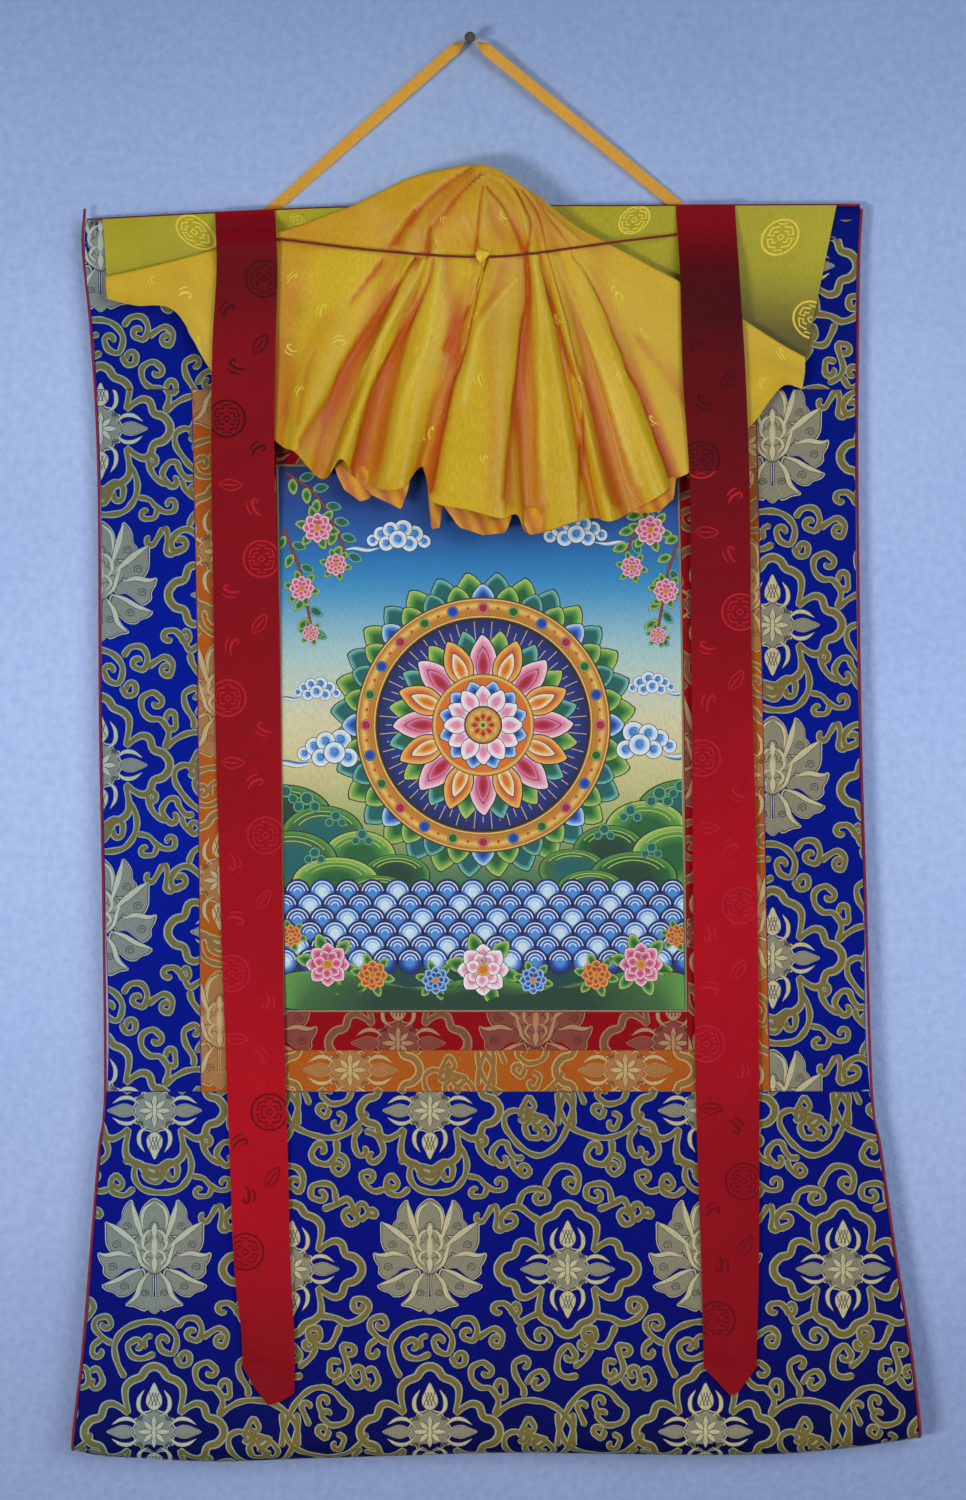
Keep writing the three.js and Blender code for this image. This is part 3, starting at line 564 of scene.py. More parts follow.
# first word of a panel's name: its finishes in front and behind, and its slot
GROUNDS = {
    "red": ([RED, REVERSE_WARM], "red_brocade"),
    "orange": ([ORANGE, REVERSE_WARM], "orange_brocade"),
    "brocade": ([BLUE, REVERSE_BLUE], "blue_brocade"),
}
for name, left, right, low, high, *_ in SIDE_PANELS:
    finishes, slot = GROUNDS[name.split("_")[0]]
    piece = panel(name + "_woven", left, right, low, high, finishes, shaded_ground_dye)
    dress(piece, slot, name)

# %% [markdown]
# ## The top hem and the bottom roll
# At the top the brocade goes over a slat, which gives a hem with a round upper edge. At the bottom
# it goes right round a rod. Both are the same sheet as the cloth above or below, so each is one
# surface: straight down to where the roll begins, and then along a circle.

# %% The top panel and its hem
TOP_HEM = {"height": 26.0, "thickness": 9.0}
PIPING_RADIUS = 1.1
PIPING_GAP = 0.05
CORD_SIDES = 10
HEM_TOP_DROP = 2 * PIPING_RADIUS + GAP
HEM_FRONT = STAND_OFF[0, 1] - BROCADE / 2
HEM_ROUND = TOP_HEM["thickness"] / 2
HEM_ROWS = {"sheet": 18, "flat": 5, "turn": 8}
TOP_COLUMNS = 76


def top_panel():
    """Rows up the front: the sheet, the straight part of the hem, then a quarter circle whose
    height is r sin t and whose depth is r - r cos t. The back has its own quarter circle."""
    across = np.linspace(0, 1, TOP_COLUMNS)[None]
    guess = mix(left_edge(-129.0), right_edge(-129.0), across)
    crest = top_edge(guess) - HEM_TOP_DROP
    foot = crest - TOP_HEM["height"]
    t_sheet = np.linspace(0, 1, HEM_ROWS["sheet"], endpoint=False)[:, None]
    t_flat = np.linspace(0, 1, HEM_ROWS["flat"], endpoint=False)[:, None]
    turn = np.linspace(0, np.pi / 2, HEM_ROWS["turn"])[:, None]
    z_sheet = mix(TOP_SEAM + GAP / 2, foot, t_sheet)
    z_flat = mix(foot, crest - HEM_ROUND, t_flat)
    z_turn = crest - HEM_ROUND + HEM_ROUND * np.sin(turn)
    z = np.concatenate([z_sheet, z_flat, z_turn])
    x = mix(left_edge(z), right_edge(z), across)
    middle = cloth(x, z)
    rows = HEM_ROWS["sheet"]
    front_y = middle - BROCADE / 2
    back_y = middle + BROCADE / 2
    centre = HEM_FRONT + HEM_ROUND
    back_y[rows:] = HEM_FRONT + TOP_HEM["thickness"]
    circle = HEM_ROUND * np.cos(turn) + 0 * across
    front_y[-HEM_ROWS["turn"]:] = centre - circle
    back_y[-HEM_ROWS["turn"]:] = centre + circle
    front_y[-1] = centre - 0.6
    back_y[-1] = centre + 0.6
    z_back = z.copy()
    z_back[rows] += 2
    uv = np.stack([x, z], -1)
    return np.stack([x, front_y, z], -1), np.stack([x, back_y, z_back], -1), uv


def wide_panel(name, surfaces):
    """A panel as wide as the scroll, with the blue of its ground and its painted shade."""
    front, back, uv = surfaces
    dye = shaded_ground_dye(uv[..., 0], uv[..., 1])
    finishes, slot = GROUNDS["brocade"]
    return dress(add_sheet(name + "_woven", front, back, finishes, uv, dye), slot, name)


brocade_top = wide_panel("brocade_top", top_panel())

# %% The bottom panel and its roll
ROLL_RADIUS = 13.0
ROLL_PATTERN_TURN = 1.6
ROLL_ROWS, SHEET_ROWS, BOTTOM_COLUMNS = 15, 36, 90
ROLL_BACK_TURN = math.acos((ROLL_RADIUS - BROCADE) / ROLL_RADIUS)


def roll_middle(x):
    """Height and depth of the roll's axis below x. The sheet meets the roll's front."""
    z = bottom_edge(x) + ROLL_RADIUS
    return z, cloth(x, z) - BROCADE / 2 + ROLL_RADIUS


def bottom_front(x, down, lift=0.0):
    """The outer face of the bottom panel. down is the height along the unrolled cloth: above the
    roll's axis it is the height itself, below it the angle (axis - down) / radius runs round."""
    middle_z, middle_y = roll_middle(x)
    turn = np.clip((middle_z - down) / ROLL_RADIUS, 0, ROLL_PATTERN_TURN)
    round_y = middle_y - (ROLL_RADIUS + lift) * np.cos(turn)
    round_z = middle_z - (ROLL_RADIUS + lift) * np.sin(turn)
    flat = down > middle_z
    y = np.where(flat, cloth(x, down) - BROCADE / 2 - lift, round_y)
    return np.stack([x, y, np.where(flat, down, round_z)], -1)


def bottom_panel():
    """The front rows follow bottom_front down to the roll's lowest point. The back rows climb the
    other side of the roll to the sheet and go up its back."""
    across = np.linspace(0, 1, BOTTOM_COLUMNS)[None]
    guess = mix(left_edge(-1072.5), right_edge(-1072.5), across)
    middle_z, middle_y = roll_middle(guess)
    turn = np.linspace(math.pi / 2 + 0.06, 0, ROLL_ROWS)[:, None]
    back_turn = np.linspace(-math.pi / 2 + 0.06, math.pi - ROLL_BACK_TURN, ROLL_ROWS)[:, None]
    share = np.linspace(0, 1, SHEET_ROWS)[:, None]
    z_sheet = mix(middle_z + 6, BOTTOM_SEAM - GAP / 2 + 0 * guess, share)
    z_roll = middle_z - ROLL_RADIUS * np.sin(turn)
    z_back = middle_z + ROLL_RADIUS * np.sin(back_turn)
    y_roll = middle_y - ROLL_RADIUS * np.cos(turn)
    y_back = middle_y + ROLL_RADIUS * np.cos(back_turn)

    def edge_to_edge(z):
        return mix(left_edge(z), right_edge(z), across)

    x_sheet = edge_to_edge(z_sheet)
    y_sheet = cloth(x_sheet, z_sheet)
    front = [
        np.stack([edge_to_edge(z_roll), y_roll, z_roll], -1),
        np.stack([x_sheet, y_sheet - BROCADE / 2, z_sheet], -1),
    ]
    z_up = z_sheet.copy()
    z_up[0] = middle_z + ROLL_RADIUS * math.sin(ROLL_BACK_TURN) + 1
    back = [
        np.stack([edge_to_edge(z_back), y_back, z_back], -1),
        np.stack([x_sheet, y_sheet + BROCADE / 2, z_up], -1),
    ]
    front = np.concatenate(front)
    unrolled = np.concatenate([middle_z - ROLL_RADIUS * turn, z_sheet])
    return front, np.concatenate(back), np.stack([front[..., 0], unrolled], -1)


brocade_bottom = wide_panel("brocade_bottom", bottom_panel())

# %% [markdown]
# ## Piping and the painting's edging
# The raw edges of brocade are bound with a thin round piping, and the painting has a fine beige
# cord sewn along its rim. Both are tubes, because their roundness catches a line of light that a
# flat strip wouldn't.

# %% Piping on the sides and the top
def side_piping(edge, side):
    """Down beside one edge, just off the cloth, and in behind along the end of the roll."""
    out = side * (PIPING_RADIUS + PIPING_GAP)
    z = EDGES[:-1, 0]
    x = edge(z)
    down = np.stack([x + out, cloth(x, z) + 0.2, z], -1)
    end = float(edge(EDGES[-2, 0]))
    low = float(bottom_edge(end))
    turn = np.array([1.0, 1.25, 1.45]) * math.pi
    reach = ROLL_RADIUS - BROCADE / 2
    z_end = low + ROLL_RADIUS + reach * np.sin(turn)
    y_end = cloth(end, low + ROLL_RADIUS) + ROLL_RADIUS - BROCADE / 2 + reach * np.cos(turn)
    points = np.concatenate([down, np.stack([edge(z_end) + out, y_end, z_end], -1)])
    fine = smooth(np.linspace(0, len(points) - 1, 900), np.arange(len(points)), points)
    return by_length(fine, 320)


for name, edge, side in (("piping_left", left_edge, -1), ("piping_right", right_edge, 1)):
    tube = add_tube(name + "_wrapped", side_piping(edge, side), PIPING_RADIUS, CORD_SIDES, PIPING, (1, 0, 0))
    dress(tube, "dark_red_piping", name)
x = np.linspace(-292, 297, 200)
top_line = np.stack([x, HEM_FRONT + HEM_ROUND + 0 * x, top_edge(x) - PIPING_RADIUS], -1)
dress(add_tube("piping_top_wrapped", top_line, PIPING_RADIUS, CORD_SIDES, PIPING), "dark_red_piping",
      "piping_top")

# %% The edging round the painting
EDGING_RADIUS = 0.85


def edging_line(name):
    """The middle of one edging strip, on the front of the cloth."""
    half = EDGING / 2
    if name in ("left", "right"):
        z = np.linspace(PAINT_BOTTOM + GAP, PAINT_TOP - GAP, 160)
        x = PAINT_LEFT(z) - half if name == "left" else PAINT_RIGHT(z) + half
    else:
        z = np.full(120, PAINT_TOP + half if name == "top" else PAINT_BOTTOM - half)
        x = np.linspace(PAINT_LEFT(z[0]) - EDGING + GAP, PAINT_RIGHT(z[0]) + EDGING - GAP, 120)
    return np.stack([x, cloth(x, z) - BROCADE / 2 + 0.3, z], -1)


for name in ("left", "right", "top", "bottom"):
    tube = add_tube("painting_edging_" + name + "_cord", edging_line(name), EDGING_RADIUS, 8, EDGING_CORD)
    dress(tube, "beige_cord", "painting_edging_" + name)

# %% [markdown]
# ## Woven patterns
# The brocade's scrolls, lotuses and framed flowers float on the ground as raised thread, so they are
# real strips and petals a few tenths of a millimetre high and not paint. One cell of the pattern is
# drawn flat, with sizes in millimetres and palette numbers for its dyes. Copies of the cell are cut to
# each panel and then moved onto that panel's own surface.

# %% Lines, strands and petals
EDGE, BODY, SILVER, DARK, GOLD, CORE = range(6)
THREAD_RISE = 0.3
SCROLL_ACROSS = np.array([-1, -0.66, -0.61, 0, 0.61, 0.66, 1])
SCROLL_DYES = [EDGE, EDGE, BODY, BODY, BODY, EDGE, EDGE]
FLAME_ACROSS = np.array([-1, -0.8, -0.74, 0, 0.74, 0.8, 1])
FLAME_DYES = [DARK, DARK, GOLD, GOLD, GOLD, DARK, DARK]


def arc(x, z, wide, turn, tall=None):
    """Points at the angles turn round (x, z): x + wide cos and z + tall sin."""
    return np.stack([x + wide * np.cos(turn), z + (wide if tall is None else tall) * np.sin(turn)], 1)


def curve_through(points, step=1.7, closed=False):
    """A smooth line through given points, with equal steps along it."""
    points = np.asarray(points, float)
    count = len(points)
    first, last = 0, count - 1
    if closed:
        points = np.concatenate([points[-3:], points, points[:4]])
        first, last = 3, count + 3
    fine = smooth(np.linspace(first, last, 20 * count), np.arange(len(points)), points)
    return by_length(fine, max(4, int(distance(fine)[-1] / step) + 1))


def hook(line, radius=4.3, turn=4.3):
    """The line with a curl at its end: the heading turns on to the side of the last bend while the
    radius shrinks, and the points add up the small steps radius times angle."""
    ahead = line[-1] - line[-2]
    before = line[-4] - line[-5] if len(line) > 5 else line[1] - line[0]
    side = np.sign(before[0] * ahead[1] - before[1] * ahead[0]) or 1.0
    t = np.linspace(0, 1, 15)[1:]
    heading = math.atan2(ahead[1], ahead[0]) + side * turn * t
    step = radius * (1 - 0.45 * t) * turn / len(t)
    curl = line[-1] + np.cumsum(np.stack([np.cos(heading), np.sin(heading)], 1) * step[:, None], 0)
    return np.concatenate([line, curl])


def scroll_width(line, half, bulb):
    """Half widths: a round start, a slow swell along the way and a round bulb at the end."""
    along = distance(line)
    left = along[-1] - along
    width = half * np.sqrt(np.clip(1 - (1 - np.clip(along / half, 0.02, 1)) ** 2, 0, 1))
    width = width * (1 + 0.1 * np.sin(along / 2.4))
    ball = np.sqrt(np.clip(bulb**2 - (bulb - np.clip(left, 0.05, 2 * bulb)) ** 2, 0, None))
    return np.where(left < bulb, ball, np.maximum(width, ball))


def leaf_width(line, half, power=0.8):
    """Half widths of a leaf: nothing at both ends, widest near the middle."""
    t = distance(line) / distance(line)[-1]
    return np.maximum(half * np.sin(math.pi * np.clip(t, 0.02, 0.98)) ** power, 0.05)


def triangles(quads):
    """Each quad as two triangles."""
    return np.concatenate([quads[:, [0, 1, 2]], quads[:, [0, 2, 3]]])


def strand(line, half, across=SCROLL_ACROSS, dyes=SCROLL_DYES, rise=THREAD_RISE, lift=0.1):
    """A raised strip: at each point of the line the shares in across go from its right to its left,
    and the height is lift + rise (1 - share^2)."""
    ahead = np.gradient(line, axis=0)
    if np.allclose(line[0], line[-1]):
        ahead[[0, -1]] = line[1] - line[-2]
    ahead = unit(ahead)
    side = np.stack([-ahead[:, 1], ahead[:, 0]], 1)
    half = np.broadcast_to(half, len(line))[:, None, None]
    flat = line[:, None] + side[:, None] * half * across[None, :, None]
    height = np.broadcast_to(lift + rise * (1 - across**2), flat.shape[:2])
    points = np.concatenate([flat, height[..., None]], -1).reshape(-1, 3)
    index = np.arange(len(points)).reshape(flat.shape[:2])
    quads = np.stack([index[:-1, :-1], index[1:, :-1], index[1:, 1:], index[:-1, 1:]], -1)
    return points, triangles(quads.reshape(-1, 4)), np.tile(dyes, len(line))


PETAL_SHARES = np.array([1.0, 0.95, 0.945, 0.89, 0.885, 0.5, 0.2])


def patch(outline, dyes=(GOLD, GOLD, DARK, DARK, SILVER, SILVER, SILVER, SILVER), lift=0.1,
          rise=THREAD_RISE, shares=PETAL_SHARES, step=1.7, smoothed=True):
    """A raised shape: the outline shrinks towards its middle in rings, and the height grows with
    1 - share^2. A point closes the middle."""
    line = curve_through(outline, step, True)[:-1] if smoothed else np.asarray(outline, float)
    turned = np.roll(line, -1, 0)
    if (line[:, 0] * turned[:, 1] - line[:, 1] * turned[:, 0]).sum() < 0:
        line = line[::-1]
    centre = (line.min(0) + line.max(0)) / 2 if smoothed is True else line.mean(0)
    rings = centre + (line - centre)[None] * shares[:, None, None]
    height = np.broadcast_to((lift + rise * (1 - shares**2))[:, None], rings.shape[:2])
    points = np.concatenate([rings, height[..., None]], -1).reshape(-1, 3)
    count = len(line)
    index = np.arange(len(points)).reshape(len(shares), count)
    ahead = np.roll(index, -1, 1)
    quads = np.stack([index[:-1], ahead[:-1], ahead[1:], index[1:]], -1).reshape(-1, 4)
    fan = np.stack([index[-1], ahead[-1], np.full(count, len(points))], 1)
    points = np.concatenate([points, [[*centre, lift + rise]]])
    tones = np.concatenate([np.repeat(dyes[: len(shares)], count), [dyes[len(shares)]]])
    return points, np.concatenate([triangles(quads), fan]), tones


def gather(parts):
    """Several shapes as one: points, triangles and palette numbers."""
    starts = np.cumsum([0] + [len(p[0]) for p in parts[:-1]])
    return (
        np.concatenate([p[0] for p in parts]),
        np.concatenate([p[1] + start for p, start in zip(parts, starts)]),
        np.concatenate([p[2] for p in parts]),
    )


def moved(part, x=0.0, z=0.0, lift=0.0, size=1.0):
    points = part[0] * [size, size, 1] + [x, z, lift]
    return points, part[1], part[2]


def mirrored(part, axis=0):
    """The mirror image, with its triangles turned round so that they still face out."""
    points = part[0].copy()
    points[:, axis] *= -1
    return points, part[1][:, ::-1], part[2]


def both_sides(parts):
    return [*parts, *(mirrored(part) for part in parts)]


print("a strand has", len(strand(curve_through([(0, 0), (30, 10), (60, 0)]), 2.5)[1]), "triangles")

# %% The lotus
# outlines of the left petals, back ones first: lift, then points
LOTUS_PETALS = shapes("""
0.05: -8,-6 -14,-8 -24,-13 -33,-16 -40,-18 -37,-22 -31,-24 -27,-27 -20,-26 -13,-20 -7,-13
0.1: -1,-8 -7,-10 -12,-17 -16,-26 -22,-33 -15,-35 -7,-38 -4,-33 -1,-29
0.1: -10,3 -22,7 -30,6.5 -37,6 -43,7 -42,1 -39,-4 -39,-9 -33,-13.5 -27,-10 -20,-5 -12,-5
0.15: -12,14 -16,6 -22,5 -28,5 -34,8 -37,14 -37.5,22 -37,31 -31,26 -24,22 -17,20
0.2: -7,20 -14,19 -20,19.5 -27,23 -28,29 -25,33 -24.5,39 -21,45 -17,47.5 -14.5,40 -10,31""")
LOTUS_ARCH = listed("-9,22 -11.5,30 -10.5,39 -6,45.5 0,48.7 6,45.5 10.5,39 11.5,30 9,22")
LOTUS_CORE = listed("0,31 -6,27 -12,21 -17,15 -18,8 -13,1 -9,-5 0,-10 9,-5 13,1 18,8 17,15 12,21 6,27")
# half width, then the line of each left flame
LOTUS_FLAMES = shapes("""
2.6: -8,15 -12,27 -15,37 -17.5,47
2.8: -11,11 -19,18 -28,25 -36.5,30.5
2.2: -17,4 -27,6.5 -36,5 -43,6.5
2.1: -8,-5 -18,-8.5 -28,-14 -40,-18
2.3: -4,-8 -10,-16 -13.5,-26 -21,-33
1.9: -4,-7 -10,-1 -13,8 -16,17
1.7: -1,25 -7,21 -9,13 -5,7
1.5: -1,9 -6,7 -8,2 -3,-3
1.6: -8.5,24 -9.5,33 -7,41 0,46""")
LOTUS_SPIRALS = listed("-21,27,3.6 -29,13,3.6 -32,-4,3.6 -23,-19,3.6 -7.5,-24,3.2")
LOTUS_SCALES = listed("-4.5,21 -9,15 -4.5,10.5 -9,4 -4.5,-1 0.001,26 0.001,16 0.001,5.5")
DARK_LINE = [DARK, DARK, DARK]
THIN = np.array([-1.0, 0.0, 1.0])
FLAT = np.array([-1.0, 1.0])


def scale(x, z, size=3.6):
    """An arch with an open foot, like one scale of a cone."""
    line = arc(x, z, size, np.linspace(0, math.pi, 9), 1.3 * size)
    return strand(line, 0.34, THIN, DARK_LINE, 0.05, 0.46)


def spiral(x, z, radius, turns=1.6, half=0.34):
    """A thin curl: the radius shrinks evenly as the angle grows."""
    t = np.linspace(0, 1, 26)
    reach = radius * (1 - 0.8 * t)
    line = arc(x, z, reach, -0.6 + 2 * math.pi * turns * t)
    return strand(line, half, THIN, DARK_LINE, 0.05, 0.52)


def flame(half, points, lift=0.38):
    line = curve_through(points, 1.6)
    return strand(line, leaf_width(line, half), FLAME_ACROSS, FLAME_DYES, 0.25, lift)


def lotus():
    """Petals from the back to the front, then the core, the gold flames and the thin curls."""
    parts = []
    for lift, outline in LOTUS_PETALS:
        parts += both_sides([patch(outline, lift=lift)])
    parts.append(patch(LOTUS_ARCH, lift=0.15))
    parts.append(patch([(0, -27), (-6.5, -33), (0, -40), (6.5, -33)], lift=0.25))
    core_dyes = (DARK, DARK, CORE, CORE, CORE, CORE, CORE, CORE)
    parts.append(patch(LOTUS_CORE, core_dyes, 0.22))
    parts += both_sides([flame(half, points) for half, points in LOTUS_FLAMES])
    parts.append(flame(3.0, [(0, -8), (0, -2), (0, 4)]))
    parts.append(flame(3.4, [(0, 3), (0, 11), (0, 19)]))
    parts.append(flame(2.8, [(0, 18), (0, 24), (0, 30)]))
    parts += both_sides([spiral(*place) for place in LOTUS_SPIRALS])
    parts += both_sides([scale(*place) for place in LOTUS_SCALES])
    return gather(parts)


LOTUS = lotus()
print("lotus:", len(LOTUS[1]), "triangles")

# %% The framed flower
# the frame's middle line in one quadrant, from the top to the right
FRAME_QUADRANT = listed("""
0,50 6,47.5 10,42 17,39 21.5,34 21.8,26 19.8,14.5 24.5,18 31.5,21.5 37.5,19.5 40.5,11.5 47.5,9 52,4
52.8,0""")
BUD = listed("0,38 -3.2,32 -6,26 -5.6,20 0,16 5.6,20 6,26 3.2,32")
SIDE_BUD = listed("36,0 30,3.2 24,5.2 18,4 14,0 18,-4 24,-5.2 30,-3.2")
LEAF_MASS = listed("0,19 4,16 9,15 11,11 15,10 15,5 19,0")
CRESCENTS = shapes("""
1.9: -5,12 -11,17 -11.5,25 -7.5,32
1.8: -12,5 -18,9.5 -25,9.5 -32,5.5
1.8: -12,-5 -18,-9.5 -25,-9.5 -32,-5.5""")


def all_round(quadrant):
    """A quadrant's points mirrored to the other three, in order round the middle."""
    quadrant = np.asarray(quadrant, float)
    right = np.concatenate([quadrant, (quadrant * [1, -1])[-2::-1]])
    return np.concatenate([right, (right * [-1, 1])[-2:0:-1]])


def flower():
    """Four buds in crescents round a leaf mass with a four-petalled heart."""
    gold = (DARK, DARK, GOLD, GOLD, GOLD, GOLD, GOLD, GOLD)
    parts = [patch(all_round(LEAF_MASS), lift=0.05)]
    for side in (0, 1):
        arm = [patch(BUD, gold, 0.15)]
        arm += both_sides([flame(*CRESCENTS[0], 0.1)])
        for shift in (-3, 0, 3):
            for lean in (-1, 1):
                line = np.array([(shift - 2.2 * lean, 20.0), (shift + 2.2 * lean, 30.0)])
                line[:, 0] *= [0.9, 0.7]
                line = curve_through(line, 3)
                arm.append(strand(line, 0.3, THIN, DARK_LINE, 0.03, 0.45))
        parts += arm if side == 0 else [mirrored(part, 1) for part in arm]
    parts += both_sides([patch(SIDE_BUD, lift=0.15), *(flame(*c, 0.1) for c in CRESCENTS[1:])])
    for angle in np.arange(8) * math.pi / 4:
        out = np.array([math.cos(angle), math.sin(angle)])
        reach = 10.5 if round(angle / (math.pi / 4)) % 2 else 12
        parts.append(flame(2.4, [out * 1.5, out * reach / 2, out * reach], 0.34))
    parts.append(flame(1.9, [(0, -8.5), (0, 0), (0, 8.5)], 0.6))
    parts += both_sides([spiral(-11, 10, 2.2), spiral(-11, -10, 2.2)])
    return gather(parts)


def frame_ring():
    """The twelve-lobed frame, a closed strand."""
    line = curve_through(all_round(FRAME_QUADRANT), 1.8, True)
    reach = np.hypot(line[:, 0] / 52, line[:, 1] / 50)
    return strand(line, 2.3 + 1.2 * ease(reach, 0.55, 0.95))


FLOWER = gather([flower(), frame_ring()])
print("framed flower:", len(FLOWER[1]), "triangles")

# %% One cell of the pattern
CELL = {"width": 209.0, "height": 246.0, "second_x": 104.5, "second_z": -121.6, "lotus_z": -116.0}
# width, whether it ends in a curl, and the line: x to the right and z up from the first flower
SCROLLS = shapes("""
4.8 1: 108,15 109,4 105,-11 98,-25 88,-33 79,-34 69,-28 62,-20 57,-12 57,-4 63,0 71,-1
5.2 1: 73,1 76,-7 72,-12 75,-20 81,-21
4.6 1: 79,-9 84,-5 90,-9 94,-15 92,-20
4.8 0: -112,15 -111,2 -104,-11 -91,-18 -76,-21 -62,-17 -53,-9 -47,-1
5 1: 72,-36 65,-36 60,-30 58,-25 52,-25 47,-33 52,-41
5 1: 51,-41 43,-37 38,-30 36,-20 40,-20
4.6 1: 62,-37 64,-44 71,-50 76,-47 74,-43
5.4 1: -71,-22 -71,-33 -77,-41 -87,-39 -90,-33 -87,-27
4.8 1: -71,-33 -64,-37 -63,-44 -69,-49 -73,-46
5 1: -52,-12 -57,-20 -57,-28 -55,-33
5 1: -50,-15 -41,-19 -36,-27 -36,-34 -41,-39
5 1: 20,-25 26,-33 28,-43 25,-53 17,-61 3,-63 -9,-60 -15,-52 -14,-43 -5,-43 3,-44 11,-39 17,-43 17,-50
5 0: -15,-43 -18,-39 -24,-39
4.6 1: -9,-47 -5,-53 2,-55 7,-49
5 1: -15,-59 -23,-65 -32,-62 -33,-54 -29,-50 -25,-54
5 1: -34,-60 -42,-62 -49,-57 -52,-49 -47,-47
4.4 1: 28,-50 37,-52 42,-57 49,-61 56,-60 57,-55
4.4 1: 44,-57 41,-65 34,-66
5.4 1: -82,-76 -71,-72 -63,-68 -59,-73 -55,-84 -61,-87 -65,-82
5 1: -71,-71 -73,-60 -79,-56 -89,-58 -90,-66 -84,-69
4.6 1: -54,-85 -47,-79 -49,-73
4.6 1: -47,-80 -41,-81 -41,-78
5.4 1: 84,-85 76,-80 68,-74 60,-75 54,-82 56,-90 63,-88
5 1: 67,-72 71,-63 79,-60 88,-62 89,-69 84,-71
5.2 1: 87,-59 91,-50 98,-43 108,-44 113,-52 110,-62 104,-59
4.6 1: 48,-72 44,-79 41,-84
4.6 1: 49,-71 51,-78 50,-89
5.4 1: -84,-157 -72,-159 -63,-163 -52,-159 -46,-151 -50,-145 -57,-145 -58,-150
5.2 1: -68,-164 -71,-172 -76,-180 -84,-180 -91,-175 -92,-168 -85,-167 -83,-172
4.8 0: -86,-181 -91,-190 -100,-197
5 1: -74,-209 -65,-204 -62,-197 -65,-187 -66,-180 -60,-180
5 1: -67,-193 -75,-192 -76,-200
5 1: -63,-204 -57,-212 -50,-209 -51,-199 -53,-197
4.8 1: -49,-200 -43,-198 -39,-207 -42,-212
5 1: -22,-205 -28,-193 -30,-180 -24,-169 -12,-163 1,-162 11,-166 17,-175 14,-186 6,-184 3,-178
5 1: 1,-186 -9,-190 -17,-188 -20,-180 -15,-176
4.4 0: -7,-183 -7,-175 -1,-172
5 1: 16,-188 20,-195 26,-194 27,-189
5 1: 17,-167 23,-160 32,-160 36,-168 33,-176 27,-175
5 1: 36,-175 41,-171 49,-167 55,-172 53,-180 49,-180
5 1: -31,-179 -38,-175 -45,-167 -44,-160 -36,-158 -33,-162
5 1: -40,-175 -46,-180 -47,-185
4.8 0: 49,-234 56,-228 66,-223 78,-222 91,-225 101,-232 108,-242 109,-258
4.8 1: -112,-258 -111,-245 -106,-232 -100,-222 -91,-214 -81,-212 -72,-216 -66,-223 -60,-229 -63,-238
-74,-241 -81,-236
5 1: 49,-234 52,-222 46,-213 38,-212 32,-206 32,-197 40,-193 46,-197
4.8 1: 51,-219 57,-219 57,-210
5 1: 71,-220 71,-213 65,-203 64,-194 70,-190
4.8 1: 73,-210 78,-202 85,-200 89,-207 84,-212
5 1: 86,-154 76,-158 68,-162 63,-154 57,-148 51,-148
4.6 1: 62,-150 66,-148 68,-152
5.2 1: 68,-164 70,-172 77,-180 87,-181 91,-174 87,-169
5.2 1: 123,-170 121,-180
5.2 1: 113,-203 103,-204 97,-199 98,-187 105,-180 110,-186
4.6 1: -91,-242 -94,-235 -97,-228
4.6 1: -80,-234 -84,-226 -84,-222
4.8 1: -76,-244 -79,-251 -84,-248
4.6 1: -71,-247 -65,-251 -67,-258
4.8 1: 68,-251 71,-242 75,-236 79,-241
4.8 1: 74,-248 82,-250 88,-252 84,-257""")


def brocade_cell():
    """Scrolls first, then the flowers and the lotus over them. Each scroll lies a little higher or
    lower than the next, so that crossings show which one passes over."""
    parts = []
    for number, (width, curl, points) in enumerate(SCROLLS):
        line = curve_through(points)
        if curl:
            line = hook(line, width * 0.8)
        half = scroll_width(line, width / 2, width * 0.58)
        parts.append(strand(line, half, lift=0.06 + 0.02 * (number % 5)))
    parts.append(FLOWER)
    parts.append(moved(FLOWER, CELL["second_x"], CELL["second_z"]))
    parts.append(moved(LOTUS, 0, CELL["lotus_z"]))
    return gather(parts)


BROCADE_CELL = brocade_cell()
print("one cell:", len(BROCADE_CELL[1]), "triangles")

# %% Lay the pattern on the panels
# edge, body, silver, dark line, gold, core
PALETTES = {
    "brocade": tints(listed("158,166,134,0.2 122,104,38,0.35 152,147,118,1 72,70,58,0 "
                            "208,197,150,0.5 158,146,112,0.4")),
    "orange": tints(listed("202,164,96,0.2 152,104,40,0.35 192,126,58,1 134,78,28,0 "
                           "210,178,116,0.5 198,140,74,0.4")),
    "red": tints(listed("168,118,76,0.2 124,72,36,0.35 146,62,46,1 90,20,22,0 "
                        "186,138,90,0.5 156,78,54,0.4")),
}


# how far a cell reaches from its first flower
CELL_REACH = {"right": 250, "left": 100, "up": 60, "down": 320}


